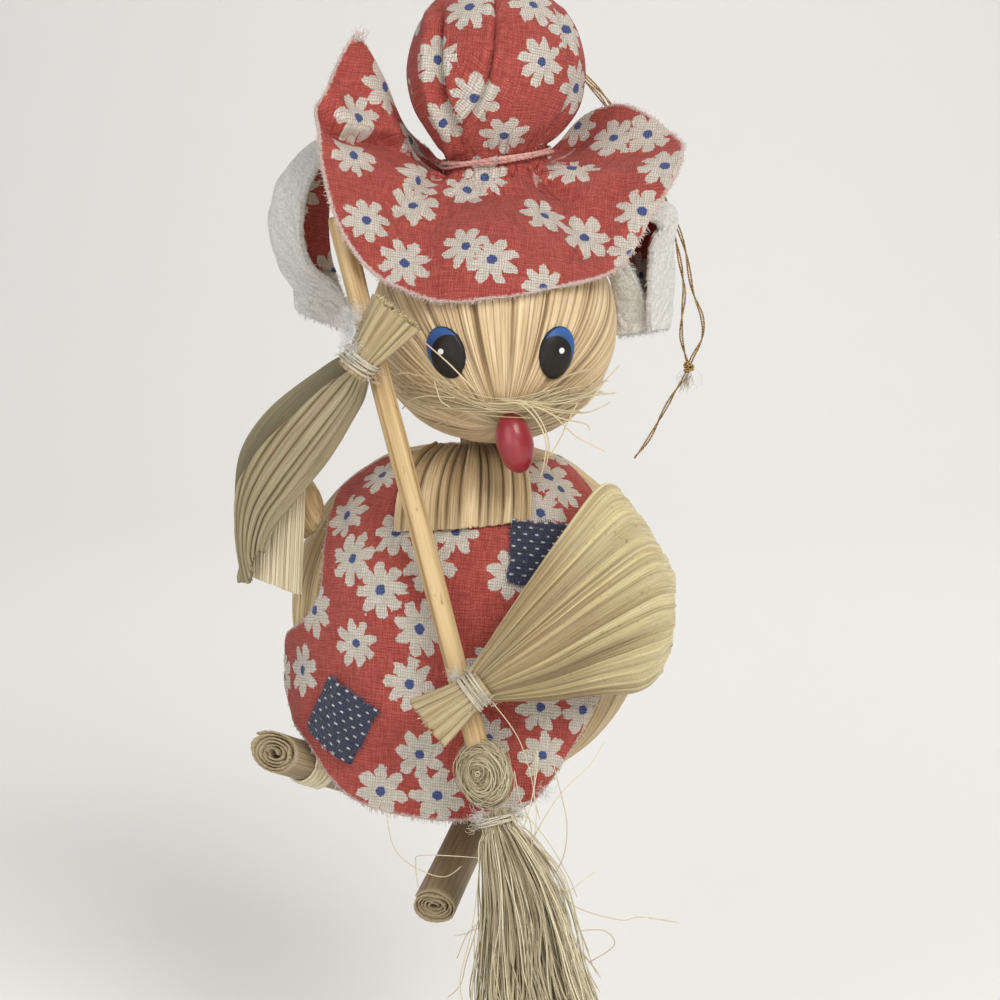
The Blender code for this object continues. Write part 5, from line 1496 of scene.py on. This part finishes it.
def make_sleeve(wrist, paints):
    """The left sleeve: a pleated band that crosses its back part, which has painted shade, and a paler flap
    below.
    """
    rows, columns = 100, 280
    grid = surface_through(sleeve_lines(sleeve_left_shares, wrist, hand_left_direction), rows, columns)
    share = np.linspace(0, 1, rows + 1)[:, None]
    side = np.linspace(0, 1, columns + 1)[None]
    grid = cut_ends(shortened(grid, 1 - 0.2 * np.clip((side[0] - 0.4) / 0.4, 0, 1)), 0.004, 141)
    behind = 0.44 * (1 - share) ** 0.8
    band = ramp(side, behind - 0.012, behind + 0.012)
    strip = ramp(side, 0.8, 0.85)
    heights = rib_heights(side * 11 + 0.5 * (noise1(share * 3, 147) - 0.5), 143)
    fine = rib_heights(side * 60, 145)
    gathered = ramp(share, 0.0, 0.16)
    lift = band * (0.8 + (1 - strip) * (heights - 0.5) * 1.2 * gathered) + fine * 0.07
    tone = blend(0.7, blend(heights * 1.1, 0.9, strip), band)
    # painted shade: the back part behind the band gets a low shade number, so the husk paint darkens it; the
    # band's tone sets its painted valley shade
    shade = band * 9 + (1 - band) * np.clip(0.55 - 0.6 * side / np.maximum(behind, 0.01), 0.05, 0.55)
    grid = grid + grid_normals(grid) * lift[..., None]
    batch = Batch()
    batch.add(grid, fibre_surface(grid, 40), layer_of(tone, shade))
    item = batch.piece("sleeve_left_ribs", paints["husk_sleeve"], nodes=["sleeve_left"])
    thicken(item, 0.35)
    batch = Batch()
    grid = surface_through(scaled(flap_left_shares, body_radius, BODY), 50, 200)
    grid = cut_ends(grid, 0.014, 151)
    add_husk(batch, grid, 22, 0.16, 153)
    item = batch.piece("sleeve_left_flap_ribs", paints["husk_pale"], nodes=["sleeve_left_flap"])
    thicken(item, 0.35)


def make_fan(wrist, paints):
    """The right sleeve: a wide fan of ribs from the wrist, its far edge crumpled."""
    rows, columns = 110, 420
    grid = surface_through(sleeve_lines(fan_right_shares, wrist, hand_right_direction), rows, columns)
    share = np.linspace(0, 1, rows + 1)[:, None]
    side = np.linspace(0, 1, columns + 1)[None]
    crumple = (noise2(side * 9, share * 6, 161) - 0.5) * 2.2 * np.clip(share * 2.6 - 1.5, 0, 1)
    crumple = crumple + (noise2(side * 26, share * 16, 163) - 0.5) * 0.7 * np.clip(share * 3 - 1.9, 0, 1)
    grid = cut_ends(grid + grid_normals(grid) * crumple[..., None], 0.05, 165)
    beyond = grid[..., 0] - fan_reach
    grid[..., 0] -= np.where(beyond > 0, beyond - 0.4 * np.tanh(beyond / 0.4 * 0.4), 0)
    drawn = np.clip(1.25 - share[:, 0] * 0.95, 0.45, 1)
    fade = np.clip(share[:, 0] * 5, 0.35, 1) * np.clip(1.15 - share[:, 0] * 0.85, 0.3, 1)
    batch = Batch()
    add_husk(batch, grid, 62, 0.7, 167, fade, drawn)
    item = batch.piece("sleeve_right_fan", paints["husk_fan"], nodes=["sleeve_right"])
    thicken(item, 0.4)


def make_upper_arm(paints):
    points = scaled(upper_arm_left_shares, body_radius, BODY)
    rows, columns = 30, 120
    share = np.linspace(0, 1, rows)
    centres = smooth_line(points, rows)
    size = smooth_line(np.array(upper_arm_size_shares)[:, None], rows)[:, 0]
    size = size * np.sin(np.pi * np.clip(share, 0.02, 0.98)) ** 0.25
    level, upright = frame_along(points[-1] - points[0], (0, 0, 1))
    angle = -TURN * np.arange(columns) / columns
    heights = rib_heights(share[:, None] * 9 + 0.6 * np.sin(angle)[None], 171)
    bulge = 1 + (heights - 0.6) * 0.1
    grid = (centres[:, None]
            + level * (upper_arm_half_height * size[:, None] * bulge * np.cos(angle))[..., None]
            + upright * (upper_arm_half_depth * size[:, None] * bulge * np.sin(angle))[..., None])
    tips = [np.broadcast_to(centres[k], (1, columns, 3)) for k in (0, -1)]
    grid = np.concatenate([tips[0], grid, tips[1]])
    heights = np.pad(joined(heights), ((1, 1), (0, 0)), mode="edge")
    down = np.linspace(0, 9, rows + 2)[:, None]
    surface = layer_of(down, np.linspace(0, 24, columns + 1)[None])
    batch = Batch()
    batch.add(grid, surface, layer_of(heights), closed=True)
    batch.piece("upper_arm_left_husk", paints["husk_tan"], nodes=["upper_arm_left"], weld=True)


brush_strays = [
    [(531, 853, -40), (536, 833, -41), (560, 794, -42), (590, 764, -42), (604, 741, -41)],
    [(553, 762, -40), (560, 790, -41), (567, 823, -42), (564, 855, -42), (553, 877, -42)],
    [(540, 851, -42), (560, 885, -43), (576, 907, -43), (620, 920, -42), (640, 917, -41), (681, 923, -40)],
    [(577, 931, -44), (605, 931, -43), (614, 946, -43), (588, 963, -44)],
    [(386, 812, -38), (393, 846, -38), (412, 866, -39), (443, 877, -40), (462, 866, -41)],
    [(419, 890, -38), (416, 864, -38), (423, 855, -39), (484, 858, -41)],
    [(454, 936, -42), (467, 933, -42), (477, 924, -43)],
    [(457, 959, -42), (467, 935, -42), (478, 928, -43)],
    [(594, 872, -41), (582, 881, -42), (571, 890, -43)],
    [(505, 812, -43), (530, 840, -43), (556, 868, -43), (570, 905, -43), (590, 955, -43)],
    [(512, 815, -43), (545, 850, -43), (566, 880, -43), (580, 930, -43), (596, 975, -43)],
    [(536, 752, -42), (534, 790, -42), (536, 820, -43), (530, 860, -43)],
    [(492, 702, -44), (510, 725, -43), (522, 747, -42), (532, 781, -42), (534, 799, -42), (540, 820, -42)],
    [(508, 812, -43), (526, 829, -43), (548, 860, -43), (562, 896, -43), (566, 930, -43)],
    [(512, 812, -43), (536, 842, -43), (560, 872, -43), (574, 910, -43), (578, 950, -43)],
    [(516, 812, -43), (532, 822, -44), (552, 848, -44), (569, 878, -43), (577, 898, -43)],
    [(510, 814, -44), (524, 836, -44), (540, 862, -44), (556, 884, -44), (570, 892, -43)],
    [(514, 770, -42), (520, 800, -43), (531, 826, -43), (530, 868, -44)],
    [(538, 752, -42), (536, 776, -42), (530, 806, -43), (524, 826, -43)],
    [(520, 838, -44), (540, 878, -44), (566, 926, -44), (572, 968, -43), (590, 990, -43)],
    [(476, 930, -43), (466, 962, -43), (460, 985, -43), (447, 998, -42)],
]


def make_broom(paints):
    level, upright = frame_along(BROOM_AXIS)
    rows, columns = 90, 36
    share = np.linspace(0, 1, rows)[:, None]
    angle = -TURN * np.arange(columns)[None] / columns
    length = np.linalg.norm(BROOM_HEEL - STICK_TOP)
    bark = (0.07 * (noise2(angle * 2, share * 12, 181) - 0.5)
            + 0.05 * (noise2(angle * 6, share * 3, 183) - 0.5))
    radius = stick_radius * (1 + 2 * bark) * np.where((share == 0) | (share == 1), 0.9, 1)
    grid = (STICK_TOP + (BROOM_AXIS * length) * share[..., None]
            + level * (radius * np.cos(angle))[..., None]
            + upright * (radius * np.sin(angle))[..., None])
    cap = STICK_TOP + np.zeros((1, columns, 3))
    end = BROOM_HEEL + np.zeros((1, columns, 3))
    grid = np.concatenate([cap, grid, end])
    surface = layer_of(np.linspace(0, 9.4, columns + 1)[None], np.linspace(0, length, rows + 2)[:, None])
    batch = Batch()
    batch.add(grid, surface, closed=True)
    batch.piece("broom_stick_wood", paints["wood"], nodes=["broom_stick"], weld=True)
    make_bun(level, upright, paints)
    neck_top = BROOM_HEEL + BROOM_AXIS * (bun_half_length + seat_gap)
    make_brush(neck_top, level, upright, paints)
    make_tie("broom_tie", neck_top + BROOM_AXIS * brush_neck_height * 0.4, BROOM_AXIS,
             brush_neck_radius + 0.3, 0.9, 4, 191, paints, 0.12)


def make_bun(level, upright, paints):
    """Sisal wound into an oval spiral over the heel of the broom, its fibres and core given darker tones as
    painted shade.
    """
    rng = np.random.default_rng(201)
    facing = vec(-0.22, -1, 0.0)
    front = unit(facing - BROOM_AXIS * (facing @ BROOM_AXIS))
    side = np.cross(BROOM_AXIS, front)
    batch = Batch()

    def over(polar, azimuth, lift):
        return (BROOM_HEEL + front * (np.cos(polar) * (bun_half_width + lift))[..., None]
                + side * (np.sin(polar) * np.sin(azimuth) * (bun_half_width + lift))[..., None]
                - BROOM_AXIS * (np.sin(polar) * np.cos(azimuth) * (bun_half_length + lift))[..., None])

    polar = math.pi * np.linspace(0, 1, 20)[:, None]
    azimuth = TURN * np.arange(40)[None] / 40
    # painted shade: the core under the winding and the wound fibres get low tones, so the bun reads darker
    # than the brush
    core = over(polar + 0 * azimuth, azimuth + 0 * polar, -1.1)
    surface = layer_of(np.full((1, 41), 0.1), polar * 4)
    batch.add(core, surface, closed=True)
    for _ in range(130):
        start = rng.uniform(0.02, 2.5)
        turns = rng.uniform(0.5, 1.5)
        place = np.linspace(0, 1, int(turns * 40))
        sway = 0.08 * np.sin(place * rng.uniform(5, 14) + rng.uniform(0, 6))
        polar = np.clip(start + place * rng.uniform(-0.3, 0.5) + sway, 0.03, 2.95)
        azimuth = rng.uniform(0, TURN) + TURN * turns * place
        lift = rng.uniform(-1.3, -0.5) + 0.2 * np.sin(place * 7 + rng.uniform(0, 6))
        batch.add_fibre(over(polar, azimuth, lift), rng.uniform(0.06, 0.13), rng.normal(0.2, 0.25), sides=4)
    for _ in range(46):
        place = np.linspace(0, 1, 40)
        polar = rng.uniform(0.55, 1.5) + 0.25 * np.sin(place * rng.uniform(2, 5) + rng.uniform(0, 6))
        azimuth = blend(rng.uniform(-0.5, 1.1), -math.pi - rng.uniform(-0.2, 0.2), place)
        lift = rng.uniform(-0.8, -0.2) - 0.4 * place
        batch.add_fibre(over(polar, azimuth, lift), rng.uniform(0.06, 0.11), rng.normal(0.35, 0.25), sides=4)
    for _ in range(9):
        place = np.linspace(0, 1, 40)
        polar = 1.2 + 0.5 * np.sin(place * 5 + rng.uniform(0, 6))
        azimuth = rng.uniform(0, TURN) + TURN * 0.6 * place
        lift = rng.uniform(0.1, 0.9) * np.sin(np.pi * place) - 0.5
        batch.add_fibre(over(polar, azimuth, lift), 0.07, rng.random())
    batch.piece("broom_bun_winding", paints["sisal"], nodes=["broom_bun"])


def make_brush(neck_top, level, upright, paints):
    rng = np.random.default_rng(211)
    base = neck_top + BROOM_AXIS * brush_neck_height
    ahead = unit(blend(BROOM_AXIS, vec(0, 0, -1), brush_droop_share))
    batch = Batch()
    place = np.linspace(0, 1, 24)
    spread = brush_neck_radius * 0.9 + (brush_end_radius * 1.02 - brush_neck_radius * 0.9) * place ** 0.65
    bow = vec(0.8, 0, 0.4) * np.sin(math.pi * np.minimum(place * 1.4, 1))[:, None]

    def wave(low, high, size):
        return (rng.normal(0, size, 3)[None]
                * np.sin(place * rng.uniform(low, high) + rng.uniform(0, TURN))[:, None])

    lean = vec(1.4, 0, 0) * place[:, None]
    for _ in range(105):
        reach, angle = math.sqrt(rng.random()) * 0.9, rng.uniform(0, TURN)
        lock = level * reach * math.cos(angle) + upright * reach * math.sin(angle)
        shared = wave(3, 8, 0.5) + wave(7, 14, 0.3)
        drift = rng.normal(0, 0.08, 3)
        shared_tone = rng.normal(0.55, 0.2)
        for _ in range(10):
            own = rng.normal(0, 0.1, 3)
            length = brush_length * rng.uniform(0.78, 1.0) * (1 - 0.04 * reach)
            strayed = (drift + rng.normal(0, 0.12, 3)) * (place ** 1.5)[:, None]
            path = (base + ahead * (length * place)[:, None] + (lock + own + strayed) * spread[:, None]
                    + bow + lean)
            path = path + (shared + wave(4, 11, 0.3) + wave(9, 22, 0.16)) * (place ** 0.8)[:, None]
            path = np.concatenate([[neck_top + (lock + own) * brush_neck_radius * 0.9], path])
            batch.add_fibre(path, rng.uniform(0.06, 0.13), np.clip(rng.normal(shared_tone, 0.3), 0, 1))
    for stray in brush_strays:
        guides = np.array([seen_at(point[:2], point[2]) for point in stray])
        batch.add_fibre(smooth_line(guides, 26), 0.09, rng.uniform(0.6, 1.0))
    batch.piece("broom_brush_fibres", paints["sisal"], nodes=["broom_bristles"])


def make_roll(name, hip, foot, half_width, half_height, facing, seed, paints):
    """A leg: husk rolled up, its spiral and grainy layers showing at the foot."""
    hip, foot = scaled(hip, body_radius, BODY), scaled(foot, body_radius, BODY)
    ahead = unit(foot - hip)
    level, upright = frame_along(foot - hip)
    length = np.linalg.norm(foot - hip)
    turns, steps = 5.4, 360
    place = np.linspace(0, 1, steps)
    angle = TURN * turns * place
    size = blend(0.16, 0.97, place ** 0.9) * (1 + 0.05 * (noise1(place * 30, seed) - 0.5))
    size = size + 0.012 * np.sin(angle * 21)
    rows = 26
    share = np.linspace(0, 1, rows)[:, None]
    ragged = 0.9 * (noise1(place * 46, seed + 1) - 0.5) + 0.9 * (noise1(place * 13, seed + 2) - 0.5)
    cut = unit(blend(ahead, camera_back, facing))
    off = (level * (size * np.cos(angle) * half_width)[:, None]
           + upright * (size * np.sin(angle) * half_height)[:, None])
    slant = -(off @ cut) / (ahead @ cut)
    reach = share * length + share ** 6 * (ragged * 0.8 + slant)
    squeeze = 1 - 0.05 * np.sin(share * math.pi)
    grid = (hip + ahead * reach[..., None]
            + level * (size * np.cos(angle) * half_width * squeeze)[..., None]
            + upright * (size * np.sin(angle) * half_height * squeeze)[..., None])
    surface = layer_of((place * 60)[None], share * length)
    heights = 0.55 + 0.45 * np.sin(angle * 21) * np.ones_like(share)
    heights[-1] = 1.6
    batch = Batch()
    batch.add(grid, surface, layer_of(heights))
    item = batch.piece(name + "_spiral", paints["husk_leg"], nodes=[name])
    thicken(item, 0.24, 0)


def make_legs(paints):
    make_roll("leg_left", leg_left_hip_share, leg_left_foot_share, leg_left_half_width, leg_left_half_height,
              0.45, 221, paints)
    make_roll("leg_right", leg_right_hip_share, leg_right_foot_share, leg_right_half_width,
              leg_right_half_height, 0.15, 231, paints)
    hip, foot = (scaled(share, body_radius, BODY) for share in (leg_left_hip_share, leg_left_foot_share))
    level, upright = frame_along(foot - hip)
    ahead = unit(foot - hip)
    rows, columns = 20, 160
    angle = -TURN * np.arange(columns)[None] / columns
    share = np.linspace(-0.5, 0.5, rows)[:, None]
    heights = rib_heights(share * 5 + 4, 241) * np.ones_like(angle)
    lift = (heights - 0.5) * 0.25 + 0.2 * (noise2(angle * 4, share * 6, 243) - 0.5)
    grid = (blend(hip, foot, wrap_place_share) + ahead * (wrap_width * share)[..., None]
            + level * ((leg_left_half_width + lift) * np.cos(angle))[..., None]
            + upright * ((leg_left_half_height + lift) * np.sin(angle))[..., None])
    surface = layer_of(share * wrap_width, np.linspace(0, 24, columns + 1)[None])
    relief = layer_of(np.broadcast_to(joined(heights), surface.shape[:2]))
    batch = Batch()
    batch.add(grid, surface, relief, closed=True)
    item = batch.piece("leg_left_wrap_strip", paints["husk_pale"], nodes=["leg_left_wrap"])
    thicken(item, wrap_thickness, 0)


def make_hanging_loop(paints):
    """Two strands of gold thread from the crown, knotted, with one loose end."""
    rng = np.random.default_rng(251)
    right = even_line(np.array(strand_right_route + [tuple(knot_place)], float), 0.35)
    batch = Batch()
    add_twist(batch, right, cord_diameter / 2, 13.0, 0.2, 0.6, 0.42)
    first = batch.piece("gold_strand_right", paints["gold"], "hanging_loop",
                        ["cord_strand_right"])
    knot = Batch()
    for turn in range(3):
        angle = TURN * np.arange(61) / 60
        tilt = unit(vec(rng.normal(0, 0.5), rng.normal(0, 0.5), 1))
        level, upright = frame_along(tilt)
        reach = knot_radius * 0.45
        path = (knot_place + level * (reach * np.cos(angle))[:, None]
                + upright * (reach * np.sin(angle))[:, None] + tilt * (turn - 1) * 0.4)
        add_twist(knot, path, 0.28, 1.1, 0.3 * turn)
    frayed = Batch()
    for _ in range(46):
        start = knot_place + vec(rng.normal(0, 0.3), -0.3, rng.normal(-0.5, 0.2))
        steps = np.cumsum(rng.normal(0, 0.25, (5, 3)) + vec(-0.1, 0, -0.42), 0)
        frayed.add_fibre(smooth_line(start + steps, 10), 0.035, rng.random())
    frayed.piece("gold_knot_fray", paints["tie"], "hanging_loop")
    knot_item = knot.piece("gold_knot", paints["gold"], "hanging_loop", ["cord_knot"])
    route = np.array(strand_left_route + [tuple(knot_place)] + cord_tail_route, float)
    left = even_line(route, 0.35)
    batch = Batch()
    add_twist(batch, left, cord_diameter / 2, 11.0, 0.6, 0.6, 0.42)
    second = batch.piece("gold_strand_left", paints["gold"], "hanging_loop",
                         ["cord_strand_left", "cord_tail"])


def make_stage():
    """A pale floor that sweeps up into a pale backdrop."""
    floor_level, depth, height, bend, half_width = -158, 700, 1400, 260, 1600
    profile = [(-1200, floor_level), (depth - bend, floor_level)]
    for step in range(1, 13):
        angle = math.pi / 2 * step / 12
        profile.append((depth - bend + bend * math.sin(angle), floor_level + bend * (1 - math.cos(angle))))
    profile.append((depth, floor_level + height))
    points = [(side * half_width, y, z) for y, z in profile for side in (-1, 1)]
    mesh = bpy.data.meshes.new("backdrop")
    mesh.from_pydata([tuple(value * MM for value in point) for point in points], [],
                     [(2 * k, 2 * k + 1, 2 * k + 3, 2 * k + 2) for k in range(len(profile) - 1)])
    mesh.shade_smooth()
    item = bpy.data.objects.new("backdrop", mesh)
    bpy.context.scene.collection.objects.link(item)
    paint = Paint("backdrop_paper", 0.9)
    item.data.materials.append(paint.done((0.88, 0.87, 0.85)))


def make_light(name, place, size, power, colour):
    lamp = bpy.data.lights.new(name, "AREA")
    lamp.size, lamp.energy, lamp.color = size * MM, power, colour
    item = bpy.data.objects.new(name, lamp)
    bpy.context.scene.collection.objects.link(item)
    item.location = place * MM
    item.rotation_euler = Vector(place - look_at).to_track_quat("Z", "Y").to_euler()


def make_lights():
    make_light("Key", vec(360, -640, 480), 420, 4.8, (1, 0.98, 0.95))
    make_light("Fill", vec(-420, -640, 120), 600, 1.9, (0.97, 0.98, 1))
    make_light("Front", vec(120, -760, -120), 400, 0.8, (1, 0.99, 0.97))
    make_light("Back", vec(150, 420, 420), 350, 1.6, (1, 0.98, 0.95))
    world = bpy.data.worlds.new("World")
    world.use_nodes = True
    world.node_tree.nodes["Background"].inputs[0].default_value = (1, 1, 1, 1)
    world.node_tree.nodes["Background"].inputs[1].default_value = 0.3
    bpy.context.scene.world = world
    bpy.context.scene.view_settings.view_transform = "Standard"


def make_paints():
    pale, tan = (0.8, 0.635, 0.385), (0.5, 0.345, 0.165)
    paints = {
        "husk": husk_paint("husk_straw", pale, tan),
        "husk_face": husk_paint("husk_face", (0.86, 0.68, 0.42), (0.52, 0.35, 0.17), specks=0.74),
        "husk_body": husk_paint("husk_body", (0.72, 0.55, 0.3), (0.44, 0.29, 0.12)),
        # the fan's husk is a brighter copy, its colours partly raised as painted light; the left sleeve's
        # husk is a darker copy, partly lowered as painted shade
        "husk_fan": husk_paint("husk_fan", (0.86, 0.74, 0.42), (0.6, 0.49, 0.24), specks=0.6,
                               relief=1.15, broad=0.2),
        "husk_sleeve": husk_paint("husk_sleeve", (0.46, 0.39, 0.24), (0.27, 0.22, 0.11),
                                  relief=1.15, broad=0.2),
        "husk_hand": husk_paint("husk_hand", (0.55, 0.44, 0.26), (0.34, 0.25, 0.12)),
        "husk_pale": husk_paint("husk_pale", (0.8, 0.71, 0.5), (0.6, 0.5, 0.31), specks=0.8, broad=0.2),
        "husk_tan": husk_paint("husk_tan", (0.58, 0.42, 0.21), (0.36, 0.24, 0.1)),
        "husk_leg": husk_paint("husk_leg", (0.36, 0.28, 0.165), (0.18, 0.126, 0.06)),
        "cotton": cotton_paint("cotton_flowers"),
        "cotton_reverse": cotton_paint("cotton_flowers_reverse", reverse=True),
        "lining": cotton_paint("cotton_lining"),
        "denim": denim_paint(),
        "denim_fray": fibre_paint("denim_ends", (0.03, 0.035, 0.09), (0.2, 0.21, 0.3), 0.9),
        "fleece": fleece_paint(),
        "fuzz": fibre_paint("fleece_fuzz", (0.7, 0.69, 0.66), (0.88, 0.88, 0.86), 0.95),
        "fray": fibre_paint("cotton_ends", (0.62, 0.42, 0.38), (0.82, 0.76, 0.7), 0.9),
        "tie": fibre_paint("pale_thread", (0.4, 0.34, 0.23), (0.74, 0.68, 0.54), 0.6),
        "tie_pink": fibre_paint("rose_thread", (0.42, 0.12, 0.1), (0.74, 0.48, 0.42), 0.8),
        # the dark end of sisal is what the bun's low tones reach for its painted shade
        "sisal": fibre_paint("sisal_fibre", (0.3, 0.23, 0.12), (0.92, 0.83, 0.58), 0.45),
        "whisker": fibre_paint("whisker_fibre", (0.46, 0.33, 0.17), (0.85, 0.71, 0.45), 0.4),
        "cut": fibre_paint("husk_cut", (0.5, 0.37, 0.18), (0.82, 0.67, 0.4), 0.8),
        "wood": wood_paint(),
        "eye": eye_paint(),
        "bead": bead_paint(),
        "gold": gold_paint(),
        "foam": foam_paint(),
        "nylon": fibre_paint("clear_nylon", (0.6, 0.56, 0.46), (0.85, 0.83, 0.78), 0.12),
    }
    return paints


make_camera()
paints = make_paints()
make_hanging_loop(paints)
make_head(paints)
make_eye("eye_left", *eye_left_turns, -1, (-0.08, 0.1), paints["eye"])
make_eye("eye_right", *eye_right_turns, 1, (0.02, 0.12), paints["eye"])
make_bead(paints["bead"])
make_whiskers(paints["whisker"])
make_hat(paints)
make_ears(paints)
make_body(paints)
make_neck(paints)
make_apron(paints)
make_collar(paints)
make_arms(paints)
make_broom(paints)
make_legs(paints)
for core in ("hat_core", "head_core", "body_core"):
    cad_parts[core].data.materials.clear()
    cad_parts[core].data.materials.append(paints["foam"])
make_stage()
make_lights()
